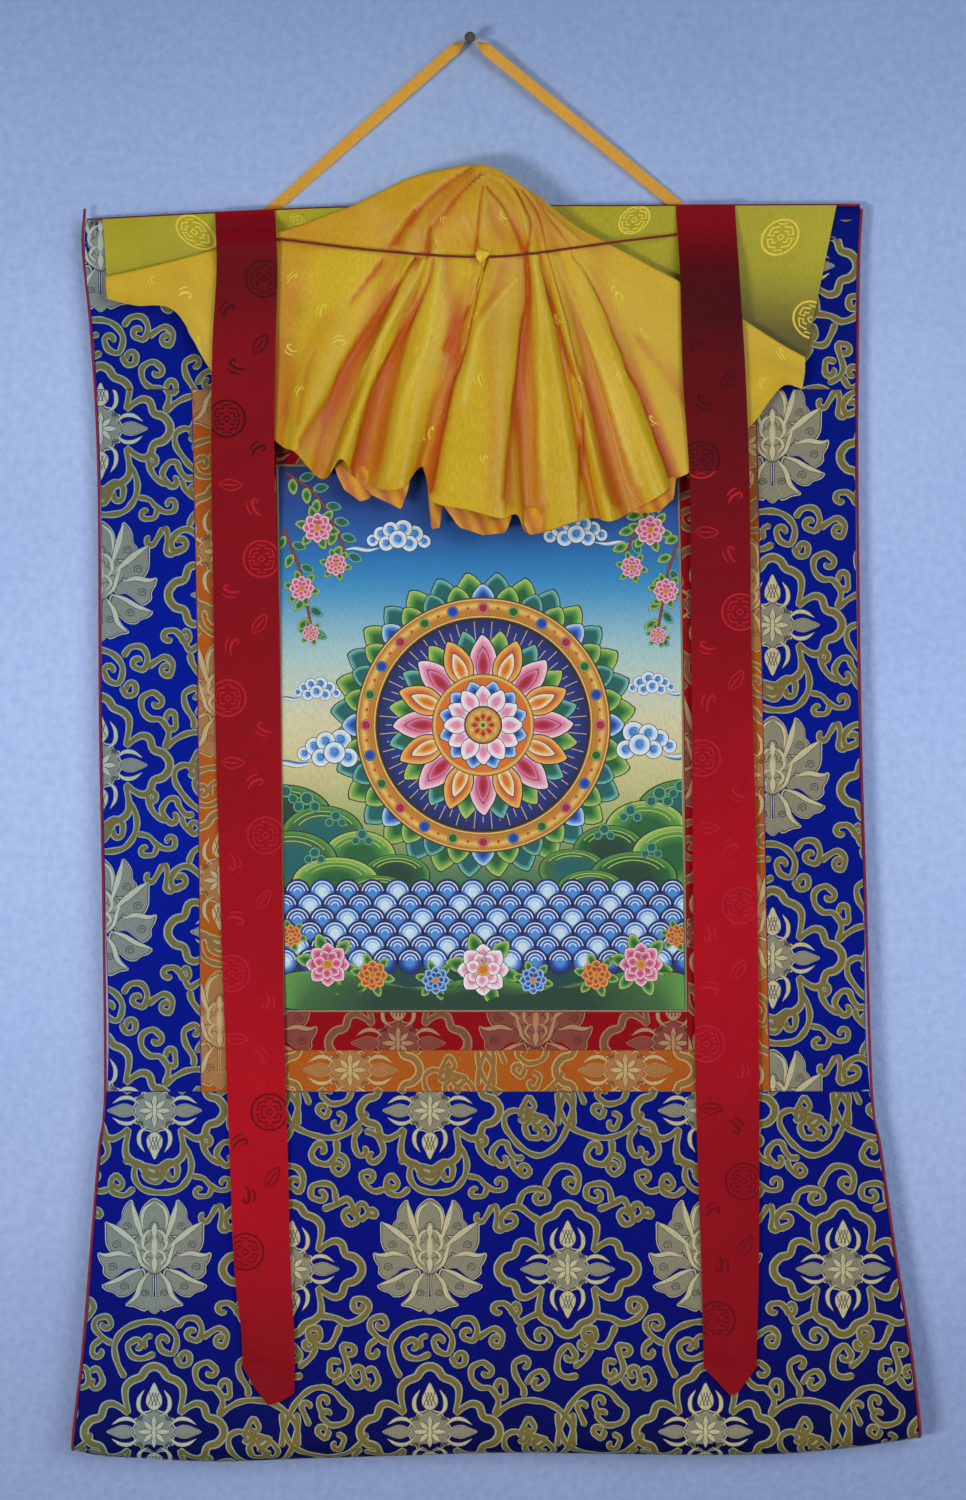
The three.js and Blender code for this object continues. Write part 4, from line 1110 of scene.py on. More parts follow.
def copies(part, origin, height, low, high, west, east):
    """Copies of the cell that reach the box, spaced a cell's width apart and height apart."""
    stretch = height / CELL["height"]
    points = part[0] * [1, stretch, 1]
    across = range(math.floor((west - origin[0] - CELL_REACH["right"]) / CELL["width"]),
                   math.ceil((east - origin[0] + CELL_REACH["left"]) / CELL["width"]) + 1)
    down = range(math.floor((low - origin[1] - CELL_REACH["up"]) / height),
                 math.ceil((high - origin[1] + CELL_REACH["down"]) / height) + 1)
    found = []
    for i in across:
        for j in down:
            placed = points + [origin[0] + i * CELL["width"], origin[1] + j * height, 0]
            x, z = placed[:, 0], placed[:, 1]
            if ((x > west) & (x < east) & (z > low) & (z < high)).any():
                found.append((placed, part[1], part[2]))
    return gather(found)


def flat_front(x, z, lift):
    """The front of the flat cloth, raised by lift."""
    return np.stack([x, cloth(x, z) - BROCADE / 2 - lift, z], -1)


# patterns stay this far inside the panel's edges, in mm
INSET = 0.3
# painted reflection: the metal threads are tinted silver at the left, as if the bright wall lit them
WALL_REFLECTION_TINT = np.array([0.78, 1.02, 1.5, 1.0])
REFLECTION_FROM, REFLECTION_TO = -280, -130


def lay(name, part, dyes, sides, heights, front, finish, slot):
    """Keeps the triangles that touch the panel, pulls what sticks out back to its edge, and moves
    the rest onto the panel's front."""
    points, faces, tones = part
    left, right = sides
    low, high = heights
    x, z = points[:, 0], points[:, 1]
    inside = (x > left(z)) & (x < right(z)) & (z > low) & (z < high)
    kept = faces[inside[faces].any(1)]
    used, corners = np.unique(kept, return_inverse=True)
    z = np.clip(z[used], low, high)
    x = np.clip(x[used], left(z) + 0.5, right(z) - 0.5)
    placed = front(x, z, points[used, 2])
    dye = dyes[tones[used]]
    # gold thread gets the painted reflection of the wall, cooler towards the left
    if finish is GOLD_THREAD:
        dye = dye * mix(WALL_REFLECTION_TINT, np.ones(4), ease(x, REFLECTION_FROM, REFLECTION_TO)[:, None])
    piece = add_mesh(name, placed, [corners.reshape(-1, 3)], [finish], uv=np.stack([x, z], 1),
                     dye=np.clip(dye, 0, 1))
    return dress(piece, slot)


def top_front(x, z, lift):
    """The front of the top panel: flat cloth, then the hem's flat front and its quarter circle."""
    crest = top_edge(x) - HEM_TOP_DROP
    over = np.clip(z - (crest - HEM_ROUND), 0, HEM_ROUND * 0.95)
    bulge = HEM_ROUND - np.sqrt(HEM_ROUND**2 - over**2)
    y = np.where(z > crest - TOP_HEM["height"], HEM_FRONT + bulge, cloth(x, z) - BROCADE / 2)
    return np.stack([x, y - lift, z], -1)


for name, left, right, low, high, origin, height in SIDE_PANELS:
    kind = name.split("_")[0]
    west, east = float(left((low + high) / 2)) - 8, float(right((low + high) / 2)) + 8
    part = copies(BROCADE_CELL, origin, height, low, high, west, east)
    lay(name + "_pattern", part, PALETTES[kind], (left, right),
                         (low + INSET, high - INSET), flat_front, GOLD_THREAD, GROUNDS[kind][1])
# name, first flower, height of a cell, box of the copies, heights to keep, surface
for name, origin, height, box, heights, front in (
    ("brocade_top", (-72.0, -300.0), 252.0, (TOP_SEAM, -130, -296, 298),
     (TOP_SEAM + INSET, -137.5), top_front),
    ("brocade_bottom", (-30.4, -814.7), 243.0, (-1110, BOTTOM_SEAM, -306, 344),
     (-1100, BOTTOM_SEAM - INSET), bottom_front),
):
    part = copies(BROCADE_CELL, origin, height, *box)
    lay(name + "_pattern", part, PALETTES["brocade"], (left_edge, right_edge),
                         heights, front, GOLD_THREAD, "blue_brocade")

# %% [markdown]
# ## The painting
# The canvas carries a picture in ground pigments with dark and gold outlines. The face of the canvas
# gets its slow colours, from deep sky to green meadow, as a dye attribute on the sheet. Everything
# drawn on it is a thin layer of paint of its own: petals, gems, waves and leaves from the same
# strand and patch functions as the brocade, but almost flat and in other colours.

# %% Pigments
PIGMENTS = dict(
    line=(30, 26, 38), gold=(198, 128, 30), pale_gold=(240, 196, 96), orange=(226, 112, 24),
    rust=(176, 66, 14), red=(172, 22, 34), rose=(206, 62, 108), pink=(236, 142, 168),
    shell=(250, 224, 226), blue=(16, 58, 158), navy=(10, 26, 92), azure=(70, 142, 214),
    ice=(206, 230, 240), teal=(8, 98, 96), mint=(120, 200, 172), green=(22, 98, 44),
    leaf=(94, 158, 62), lime=(186, 206, 96), white=(244, 242, 232), meadow=(58, 104, 48),
    deep_meadow=(22, 62, 40),
)
PIGMENT_NUMBER = {name: number for number, name in enumerate(PIGMENTS)}
PIGMENT_DYES = tints(PIGMENTS.values())
FLAT_SHARES = np.array([1.0, 0.93, 0.92, 0.62, 0.3])
MOUND_SHARES = np.array([1.0, 0.97, 0.96, 0.8, 0.4])
LARGE_SHARES = np.array([1.0, 0.985, 0.98, 0.75, 0.45])
# middle of the rosette
PICTURE = {"x": 10.0, "z": -522.0}
# tones that come again, from the rim's side to the middle
GREEN = "lime leaf green"
AZURE = "ice azure blue"
ROSE = "shell pink rose"
AMBER = "pale_gold orange rust"
PALE = "white shell pink"


def paints(names):
    """The numbers of the pigments that a text names."""
    return [PIGMENT_NUMBER[name] for name in names.split()]


def painted(outline, names, lift, step=2.6, shares=FLAT_SHARES):
    """A flat patch: a dark line round it and three tones towards its middle."""
    tones = paints("line line " + names)
    return patch(outline, [*tones, tones[-1]], lift, 0.0, shares, step)


def brushed(points, half, names, lift, closed=False):
    """A flat stroke of the brush, dark at its edges or in one tone."""
    line = curve_through(points, 2.4, closed)
    tones = paints(names)
    return strand(line, half, np.linspace(-1, 1, len(tones)), tones, 0.0, lift)


def petal(angle, inner, outer, width, names, lift, centre=(0.0, 0.0), power=0.75):
    """A pointed petal along a ray: its half width is width / 2 times sin(pi t^0.9) to a power."""
    t = np.linspace(0.02, 1, 12)
    half = width / 2 * np.sin(math.pi * np.clip(t**0.9, 0, 0.985)) ** power
    reach = inner + (outer - inner) * t
    side = np.concatenate([half, -half[::-1][1:]])
    along = np.concatenate([reach, reach[::-1][1:]])
    x = centre[0] + along * math.cos(angle) - side * math.sin(angle)
    z = centre[1] + along * math.sin(angle) + side * math.cos(angle)
    return painted(np.stack([x, z], 1), names, lift)


def circle(radius, count=24, centre=(0.0, 0.0)):
    return arc(*centre, radius, np.linspace(0, 2 * np.pi, count, endpoint=False))


def petal_ring(count, inner, outer, width, tones, lift, shift=0.0, centre=(0.0, 0.0)):
    """Petals at equal angles, whose tones take turns."""
    return [
        petal((i + shift) * 2 * math.pi / count + math.pi / 2, inner, outer, width,
              tones[i % len(tones)], lift + 0.004 * (i % 2), centre)
        for i in range(count)
    ]


print("pigments:", len(PIGMENTS))

# %% The great rosette
def rosette():
    """From the outside in: leaves, a gold ring with gems, a blue disc with gold rays, two rings of
    petals, an orange disc, small petals and the golden heart."""
    teal = "mint teal teal"
    parts = petal_ring(32, 88, 117, 22, [GREEN, teal], 0.06, 0.5)
    parts += petal_ring(32, 86, 108, 18, [AZURE, GREEN, teal, GREEN], 0.08)
    parts.append(brushed(circle(89), 8.2, "line gold pale_gold gold gold line", 0.1,
                         closed=True))
    for radius in (82.5, 95.5):
        parts.append(brushed(circle(radius), 0.5, "pale_gold pale_gold", 0.115, closed=True))
    for i in range(24):
        angle = i * math.pi / 12
        place = (89 * math.cos(angle), 89 * math.sin(angle))
        tone = ["pink red red", "azure blue blue", "lime green green"][i % 3]
        parts.append(painted(circle(4.4, 12, place), tone, 0.12, 1.6))
        between = angle + math.pi / 24
        place = (89 * math.cos(between), 89 * math.sin(between))
        parts.append(painted(circle(1.9, 10, place), AMBER, 0.12, 1.2))
    parts.append(painted(circle(81), "navy blue azure", 0.1, 3.0, LARGE_SHARES))
    for i in range(72):
        angle = i * math.pi / 36
        ray = np.array([math.cos(angle), math.sin(angle)])
        line = curve_through([ray * 58, ray * (79 if i % 2 else 74)], 12)
        parts.append(strand(line, 0.26, FLAT, paints("pale_gold pale_gold"), 0.0, 0.12))
    parts += petal_ring(16, 34, 74, 21, ["mint teal green", GREEN], 0.13, 0.5)
    parts += petal_ring(16, 30, 70, 22, [ROSE, AMBER], 0.15)
    parts += petal_ring(16, 32, 60, 11, ["pink rose red", "white pale_gold orange"], 0.17)
    parts.append(painted(circle(39), "orange orange rust", 0.19, 2.6, LARGE_SHARES))
    parts.append(brushed(circle(37), 1.5, "gold pale_gold gold", 0.2, closed=True))
    parts += petal_ring(12, 14, 35, 15, [AZURE], 0.21, 0.5)
    parts += petal_ring(12, 10, 31, 14, [PALE], 0.23)
    parts.append(painted(circle(14.5), "gold pale_gold pale_gold", 0.25, 1.6))
    parts += petal_ring(8, 2, 11, 6.5, ["pale_gold orange red"], 0.26)
    parts.append(painted(circle(3.6, 12), "pale_gold lime green", 0.28, 1.2))
    return gather(parts)


ROSETTE = rosette()
print("rosette:", len(ROSETTE[1]), "triangles")

# %% Blossoms, branches, clouds and waves
def blossom(x, z, size, tones=ROSE, lift=0.3):
    """A round blossom: leaves behind, three rings of petals and a heart."""
    middle = (x, z)
    parts = petal_ring(6, size * 0.5, size * 1.5, size * 0.62, [GREEN], lift - 0.06, 0.3, middle)
    parts += petal_ring(8, size * 0.2, size * 1.02, size * 0.75, [tones], lift, 0.0, middle)
    parts += petal_ring(7, size * 0.1, size * 0.7, size * 0.55, [tones], lift + 0.02, 0.4, middle)
    parts.append(painted(circle(size * 0.24, 12, middle), "pale_gold gold orange",
                         lift + 0.05, 1.2))
    return parts


def branch(points, leaves, size, lift=0.14):
    """A brown stem with leaves that lean away from it on both sides in turn."""
    line = curve_through(points, 2.5)
    parts = [brushed(points, 1.1, "line rust line", lift)]
    for number, at in enumerate(np.linspace(2, len(line) - 2, leaves).astype(int)):
        ahead = line[at] - line[at - 1]
        side = 1 if number % 2 else -1
        angle = math.atan2(ahead[1], ahead[0]) + side * 0.85
        tone = [GREEN, "mint teal green"][number % 2]
        parts.append(petal(angle, 1.0, size, size * 0.52, tone, lift + 0.02, line[at]))
    return parts


# x, z and radius of each puff of a cloud
PUFFS = listed("-24,-3,6.5 25,-2,6 -15,4,8.5 17,4,7.5 -4,9,9 8,8,8 -10,-5,8 12,-5,7.5 1,-1,9")


def cloud(x, z, size, flip, lift):
    """Round puffs, blue within and white at the rim, each with a curl, and a tail to one side."""
    parts = []
    for number, (dx, dz, radius) in enumerate(PUFFS):
        middle = (x + dx * size * flip, z + dz * size)
        parts.append(painted(circle(radius * size, 16, middle), "white ice azure",
                             lift + 0.008 * number, 1.8))
        turn = np.linspace(0.6, 4.6, 12)
        reach = radius * size * (0.55 - 0.08 * turn)
        line = arc(*middle, flip * reach, turn, reach)
        parts.append(strand(line, 0.3, FLAT, paints("blue blue"), 0.0, lift + 0.004 + 0.008 * number))
    tail = curve_through(listed("18,-9 30,-11 42,-9 52,-11") * size * [flip, 1], 2.4)
    tail = tail + [x, z]
    parts.append(strand(tail, leaf_width(tail, 2.6 * size), np.linspace(-1, 1, 5),
                        paints("line azure ice white line"), 0.0, lift - 0.01))
    return parts


def waves(rows=6, spacing=19.0, rise=10.5):
    """Rows of overlapping scallops: rings of arcs, each row half a step along from the last."""
    parts = []
    for row in range(rows):
        z = -646.0 - rise * row - PICTURE["z"]
        shift = spacing / 2 * (row % 2)
        for x in np.arange(-160 + shift, 160, spacing):
            middle = (x, z - 3)
            number = (row + round(x / spacing)) % 3
            tones = "navy blue azure" if number else "blue azure ice"
            parts.append(painted(circle(10.2, 20, middle), tones, 0.18 + 0.006 * row, 2.6))
            for reach in (8.0, 5.4, 2.8):
                line = arc(x, z - 3, reach, np.linspace(0.15, math.pi - 0.15, 11))
                parts.append(strand(line, 0.42, FLAT, paints("white ice"), 0.0, 0.183 + 0.006 * row))
    return parts


# x, z, half width and height of each mound on the left bank
MOUNDS = listed("""
-152,-70,38,25 -122,-84,32,23 -94,-100,28,20 -66,-114,26,16 -146,-104,36,24 -112,-120,34,20
-80,-128,26,14""")
# leaves, their length, then the branch's line
BRANCHES = shapes("""
12 15: -150,192 -128,176 -112,150 -104,128
10 14: -152,150 -140,120 -134,92 -130,70
12 15: 150,190 130,172 116,148 108,128
10 14: 152,148 141,118 136,90 132,68""")
# x, z, size, side of the tail, lift
CLOUDS = listed("""
-112,-20,0.95,-1,0.04 118,-14,0.95,1,0.04 -126,26,0.6,-1,0.04 128,30,0.6,1,0.04 -64,142,0.8,-1,0.11
70,146,0.8,1,0.11""")
# outline of the bank in front
NEAR_BANK = listed("""
-170,-196 -120,-186 -60,-199 0,-192 60,-200 120,-186 170,-196 170,-230 0,-236 -170,-230""")
# x, z and size of each tree
TREES = listed("""
-134,-62,9 -112,-74,7 -92,-88,7 134,-58,9 112,-70,7.5 92,-84,7 -150,-56,8 150,-52,8 -128,-102,7
128,-98,7""")


def hills():
    """Round green mounds on both banks, rear ones first, with small trees, and a bank in front."""
    parts = []
    mounds = [*MOUNDS]
    mounds += [(-x + 2, z + 4, wide, tall) for x, z, wide, tall in mounds]
    tones = ["leaf green deep_meadow", "leaf meadow teal", GREEN]
    for number, (x, z, wide, tall) in enumerate(mounds):
        outline = circle(1.0, 24) * [wide, tall] + [x, z]
        parts.append(painted(outline, tones[number % 3], 0.1 + 0.004 * number, 2.6, MOUND_SHARES))
        for share in (0.8, 0.66):
            line = arc(x, z, wide * share, np.linspace(0.5, 2.6, 14), tall * share)
            parts.append(strand(line, 0.35, FLAT, paints("lime lime"), 0.0, 0.102 + 0.004 * number))
    parts.append(painted(NEAR_BANK, "leaf meadow deep_meadow", 0.24, 3.4, LARGE_SHARES))
    for x, z, size in TREES:
        for dx, dz, share in ((-0.7, 0, 0.8), (0.7, 0, 0.8), (0, 0.7, 1.0)):
            middle = (x + dx * size, z + dz * size)
            parts.append(painted(circle(size * share * 0.62, 14, middle), "mint green teal",
                                 0.16 + 0.01 * (dz > 0), 1.6))
    return parts


# x, z and size of each blossom on the branches
BLOSSOMS = listed("""
-126,150,12 -112,122,9 -138,104,10 -131,70,7 127,148,12 113,120,9 139,102,10 133,68,7""")


def picture():
    """Everything drawn on the canvas, with its middle at the rosette's middle."""
    parts = waves() + hills()
    for leaves, size, points in BRANCHES:
        parts += branch(points, int(leaves), size)
    for x, z, size in BLOSSOMS:
        parts += blossom(x, z, size)
    for place in CLOUDS:
        parts += cloud(*place)
    parts.append(ROSETTE)
    for x, z, size, tones in (
        (-118, -182, 17, ROSE), (-84, -190, 12, AMBER), (120, -182, 17, ROSE), (86, -190, 12, AMBER),
        (0, -186, 20, PALE), (-36, -194, 11, AZURE), (38, -194, 11, AZURE), (-146, -160, 9, AMBER),
        (147, -160, 9, AMBER),
    ):
        parts += blossom(x, z, size, tones)
    return gather(parts)


PICTURE_PART = moved(picture(), PICTURE["x"], PICTURE["z"])
print("picture:", len(PICTURE_PART[1]), "triangles")

# %% The canvas and its paint
# height, then the sky's and the meadow's colour there
SKY = listed("-325,8,40,112 -372,16,84,160 -420,66,150,196 -470,176,206,200 -530,222,210,160 "
             "-600,160,172,104 -640,72,120,76 -738,14,50,54")


def canvas_dye(_, z):
    """The background's colour at each height, read smoothly from the table."""
    return np.clip(smooth(z, SKY[:, 0], tints(SKY[:, 1:])), 0, 1)


painting = panel("painting_canvas", PAINT_LEFT, PAINT_RIGHT, PAINT_BOTTOM, PAINT_TOP,
                 [PAINTED, CANVAS_BACK], canvas_dye)
dress(painting, "painted_canvas", "painting")
painting_picture = lay("painting_picture", PICTURE_PART, PIGMENT_DYES, (PAINT_LEFT, PAINT_RIGHT),
                       (PAINT_BOTTOM + INSET, PAINT_TOP - INSET), flat_front, PAINTED,
                       "painted_canvas")

# %% [markdown]
# ## Damask
# Damask shows its pattern only by the way its threads turn, so it needs little more than thin flat
# shapes in nearly the cloth's own colour. One function bends such shapes with a folded sheet: it
# reads the sheet's grid, so a woven sign follows every pleat.

# %% Damask shapes
def bar(points, half=0.75, curved=True):
    """A flat stroke through points, round at both ends where it is curved."""
    line = curve_through(points, 1.5) if curved else np.array(points, float)
    width = leaf_width(line, half, 0.35) if curved else half
    return strand(line, width, FLAT, [0, 0], 0.0, 0.14)


# half width, then the line of each bar on the medallion's left
FRET = shapes("""
0.7: -1.8,8.2 -7.6,7.2 -9.6,1.4 -5.6,1.4 -5.6,4.2 -2.4,4.2
0.7: -1.8,-8.2 -7.6,-7.2 -9.6,-1.4 -5.6,-1.4 -5.6,-4.2 -2.4,-4.2
0.6: 0,2.4 -2.6,0 0,-2.4
0.5: -3.4,11 -1.4,10 0,10.4
0.5: -3.4,-11 -1.4,-10 0,-10.4""")
MEDALLION_RADIUS = 14.5


def fret_medallion(radius=MEDALLION_RADIUS):
    """A ring round a square meander, the same on the left and on the right."""
    ring = strand(curve_through(circle(radius - 0.8), 2.0, True), 0.8, FLAT, [0, 0], 0.0, 0.14)
    half = [bar(points, wide, False) for wide, points in FRET]
    return moved(gather([ring, *both_sides(half)]), size=radius / MEDALLION_RADIUS)


def curl(turn=0.0, size=1.0):
    """A cloud sign: a stroke that ends in a hook, with a short second stroke."""
    line = hook(curve_through([(-9, -3), (-4, 1), (2, 2)], 1.5), 2.6, 4.4)
    parts = [strand(line, leaf_width(line, 1.15, 0.4), FLAT, [0, 0], 0.0, 0.14),
             bar([(-8, 3), (-3, 6), (3, 6.5)], 0.8)]
    return turned_part(gather(parts), turn, size)


def leaf_sign(turn=0.0, size=1.0):
    """A leaf drawn by its outline with a vein along it."""
    edge = listed("-9,-4 -5,2 1,5 9,5 6,-1 0,-5 -9,-4")
    return turned_part(gather([bar(edge, 0.7), bar([(-7, -3), (0, 0), (6, 3)], 0.7)]), turn, size)


def turned_part(part, turn, size):
    """The part turned to the left by an angle and scaled."""
    points = part[0].copy()
    x, z = points[:, 0] * size, points[:, 1] * size
    points[:, 0] = x * math.cos(turn) - z * math.sin(turn)
    points[:, 1] = x * math.sin(turn) + z * math.cos(turn)
    return points, part[1], part[2]


def on_folds(part, surface, out, place, rows):
    """Puts a flat part on a folded sheet, at the point of the given rows nearest to a place. Its
    millimetres become steps across and up the grid, and between four grid points everything is
    read evenly."""
    near = surface[rows]
    gap = np.hypot(near[..., 0] - place[0], near[..., 2] - place[1])
    r, c = np.unravel_index(gap.argmin(), gap.shape)
    r = int(np.clip(r, 1, len(near) - 2)) + rows.start
    c = int(np.clip(c, 1, surface.shape[1] - 2))
    step_across = np.linalg.norm(surface[r, c + 1] - surface[r, c - 1]) / 2
    step_up = np.linalg.norm(surface[r + 1, c] - surface[r - 1, c]) / 2
    points, faces, tones = part
    column = np.clip(c + points[:, 0] / step_across, 0, surface.shape[1] - 1.001)
    row = np.clip(r + points[:, 1] / step_up, rows.start, rows.stop - 1.001)
    i, j = row.astype(int), column.astype(int)
    up, across = (row - i)[:, None], (column - j)[:, None]

    def read(grid):
        low = mix(grid[i, j], grid[i, j + 1], across)
        high = mix(grid[i + 1, j], grid[i + 1, j + 1], across)
        return mix(low, high, up)

    return read(surface) + read(out) * points[:, 2:], faces, tones


print("a fret medallion has", len(fret_medallion()[1]), "triangles")

# %% [markdown]
# ## The veil
# One square of thin satin hangs from the top edge in three layers. The back layer falls, folds up
# behind the front one and over a ridge, and the front falls from the ridge under the cord to the
# hem. A table gives a row for each fold line: its ridge, its waist at the cord and its hem.

# %% The veil's fold lines
# ridge x, z, y; waist x, z, y; hem x, z, y
VEIL_FOLDS = listed("""
-276,-182,-24,-276,-190,-24,-275,-199,-24 -253,-177,-24.5,-253,-190,-25,-254,-204,-24.5
-220,-169,-25,-222,-187,-26,-223,-209,-25 -184,-159,-25,-187,-192,-26.5,-195,-255,-26
-137,-146,-25,-137,-176,-26.5,-148,-306,-27 -95,-131,-27,-91,-164,-31.2,-131,-317,-41
-79,-124,-30,-55,-166,-31.5,-112,-336,-29 -62,-116,-32,-44,-167,-35.6,-97,-322,-45
-48,-109,-34,-35,-168,-33.5,-82,-339,-32 -33,-105,-36,-26,-169,-37.1,-54,-345,-50
-21,-102.5,-37,7,-169,-36.5,-36,-327,-34 -9,-100,-38,11,-170,-38.5,-29,-353,-46
2,-99,-38,15,-170,-39.4,0,-361,-56 12,-99.5,-38,19,-170,-39,23,-367,-57
21,-102.5,-37,26,-169,-38,36,-364,-48 30,-107.5,-36,41,-166,-33,46,-378,-37
38,-113,-35,49,-166,-35.2,80,-369,-52 46,-118,-34,54,-165,-32.5,95,-366,-39
54,-123,-32,59,-164,-34.1,106,-369,-50 65,-132,-30,66,-163,-31,122,-361,-34
79,-143,-28,76,-163,-32.1,145,-348,-45 99,-154,-26,93,-170,-28.5,154,-337,-30
129,-170,-25,120,-190,-27.5,166,-331,-28 175,-195,-25,167,-222,-26.5,182,-318,-27
206,-214,-25,204,-237,-26,212,-296,-26 232,-231,-24.5,233,-245,-25,236,-266,-24.5
254,-243,-24,254,-254,-24,252,-267,-24""")
VEIL_TOP = {"left": -279.3, "right": 278.8, "drop": 2.0, "y": -13.0}
BACK_LAYER_Y = -15.6
MIDDLE_LAYER_Y = -19.5
HOOD = {"centre": 5.0, "half_width": 95.0, "bulge": 9.0, "ridge": 5.0, "wing": 2.0}
SATIN = 1.0
FOLD_SHARE = 0.45
PLEAT_REACH = 9
VEIL_ROWS = {"back": 10, "low": 8, "middle": 8, "ridge": 10, "hood": 26, "fan": 66}
# depth in mm (less than 0 for a ridge), half width at the start and at the end, share of the painted
# shade in the fold (less than 0 for a painted highlight), then points x, z
VEIL_STROKES = shapes("""
2 1.5 4 0.8: 0,-101 -23,-117 -42,-136 -56,-154
2.6 1 3 0.95: 8,-106 -9,-123 -23,-140 -31,-149 -33,-164
1.2 0.8 0.8 1: -42,-134 -52,-149 -61,-160
1.6 0.6 1.3 0.8: 10,-116 7,-134 4,-166
1.8 1 1.4 0.95: 13,-117 25,-131 34,-149 40,-164
1.6 0.8 1.4 0.8: 34,-117 40,-129 46,-145 42,-165
1.4 0.8 1.6 0.7: 40,-118 52,-137 58,-164
1 0.8 1.4 0.5: 51,-126 64,-143 75,-160
1 5 7 0.45: 15,-134 22,-154
-1.8 1.2 2 -0.5: 15,-106 0,-116 -19,-136 -28,-149 -20,-165
-1.4 1 1.6 -0.5: 15,-106 27,-113 37,-129 45,-156
-1 1.4 1.6 -0.3: 8,-100 27,-106 44,-120 63,-139 82,-156
1.5 2.2 1.5 0.9: -68,-172 -79,-187 -91,-203
3 2.2 7 0.8: -41,-170 -56,-189 -74,-218 -94,-248 -106,-275 -127,-308
2.4 1.6 5 0.85: -29,-171 -32,-186 -45,-214 -61,-244 -75,-275 -88,-328
1 4 9 0.5: -20,-171 -18,-190 -14,-215 -16,-238
1.2 1 2 0.7: -1,-206 -8,-222 -18,-236
0.3 7 9 0.3: 16,-172 13,-230 17,-300 16,-352
0.3 8 9 0.3: -110,-215 -128,-250 -138,-285
0.3 7 8 0.25: -52,-225 -66,-275 -70,-330
0.6 6 8 0.5: -3,-107 -17,-121 -30,-136
0.6 6 8 0.4: 38,-108 50,-128 55,-154
1 1 5 0.6: 52,-171 60,-200 72,-240 92,-300 100,-345
1 2 3 0.5: -119,-240 -126,-262 -131,-292
3 1 4.5 1: 13,-170 6,-189 -1,-220 -9,-248 -18,-275 -32,-343
0.6 7 3 0.6: 24,-175 19,-192 8,-210
3 1.6 6 0.9: 42,-170 43,-196 40,-220 37,-248 34,-275 27,-351
1.6 0.8 2.2 0.9: 54,-169 59,-196 66,-225 77,-258 84,-275 81,-364
1.8 0.8 4 0.85: 59,-168 71,-210 79,-244 90,-275 108,-355
1.4 0.8 3 0.8: 77,-166 94,-192 108,-225 120,-258 130,-275 151,-337
0.8 3 9 0.3: 127,-230 145,-253 162,-275
-1.4 1.5 4 -0.5: -35,-171 -43,-189 -61,-220 -80,-253 -92,-275 -108,-320
-1.2 1.5 4 -0.5: -23,-171 -26,-192 -32,-230 -42,-258 -49,-275 -61,-334
-1 1 2 -0.3: 2,-171 -4,-201 -11,-230 -23,-268
-1.6 1.2 3 -0.5: 35,-186 20,-203 6,-225 1,-248 -4,-275
-1.4 1.2 4 -0.4: 48,-170 52,-201 53,-230 53,-258 54,-275 53,-351
-1.2 1.2 4 -0.4: 65,-168 79,-201 94,-239 106,-275 124,-339""")


def veil_surface(columns_per_fold=12):
    """Rows go down one fold line at a time: back layer, half circle at the low fold, middle layer,
    half circle at the ridge, hood, then the fan below the cord. Between the fold lines the
    numbers follow smooth curves, which round the pleats."""
    folds = len(VEIL_FOLDS)
    at = np.linspace(0, folds - 1, (folds - 1) * columns_per_fold + 1)
    rx, rz, ry, wx, wz, wy, hx, hz, hy = smooth(at, np.arange(folds), VEIL_FOLDS).T
    top_x = mix(VEIL_TOP["left"], VEIL_TOP["right"], at / (folds - 1))
    top_z = top_edge(top_x) - VEIL_TOP["drop"]
    fold_x = mix(rx, hx, FOLD_SHARE)
    fold_radius = (BACK_LAYER_Y - MIDDLE_LAYER_Y) / 2
    fold_z = mix(rz, hz, FOLD_SHARE) + fold_radius
    hood = np.clip(1 - np.abs(rx - HOOD["centre"]) / HOOD["half_width"], 0, 1)
    ridge_radius = mix(HOOD["wing"], HOOD["ridge"], hood)
    ridge_z = rz - ridge_radius
    ridge_back = ry + 2 * ridge_radius

    def steps(name, last=False):
        return np.linspace(0, 1, VEIL_ROWS[name], endpoint=last)[:, None]

    def half_circle(x, z, start, end, down, t):
        radius = np.abs(end - start) / 2
        depth = start + (end - start) * (1 - np.cos(math.pi * t)) / 2
        return np.stack(np.broadcast_arrays(x, depth, z + down * radius * np.sin(math.pi * t)), -1)

    def straight(a, b, t, bow=0.0):
        lines = [mix(a[0], b[0], t), mix(a[1], b[1], t) - bow, mix(a[2], b[2], t)]
        return np.stack(np.broadcast_arrays(*lines), -1)

    t = steps("back")
    back = straight((top_x, VEIL_TOP["y"], top_z), (fold_x, BACK_LAYER_Y, fold_z), t)
    back[..., 1] = mix(VEIL_TOP["y"], BACK_LAYER_Y, np.sqrt(t))
    low = half_circle(fold_x, fold_z, BACK_LAYER_Y, MIDDLE_LAYER_Y, -1, steps("low"))
    middle = straight((fold_x, MIDDLE_LAYER_Y, fold_z), (rx, ridge_back, ridge_z), steps("middle"))
    ridge = half_circle(rx, ridge_z, ridge_back, ry, 1, steps("ridge"))
    t = steps("hood")
    bow = HOOD["bulge"] * hood * np.sin(math.pi * t)
    over = straight((rx, ry, ridge_z), (wx, wy, wz), t, bow)
    t = steps("fan", True)
    fan = straight((wx, wy, wz), (hx, hy, hz), t)
    return np.concatenate([back, low, middle, ridge, over, fan])[::-1]


def skin(middle, thickness):
    """Front and back of a sheet: each point moves half the thickness along the surface's normal,
    the cross product of the directions to the right and up."""
    right = np.gradient(middle, axis=1)
    up = np.gradient(middle, axis=0)
    out = unit(np.cross(right, up))
    return middle + out * thickness / 2, middle - out * thickness / 2, out


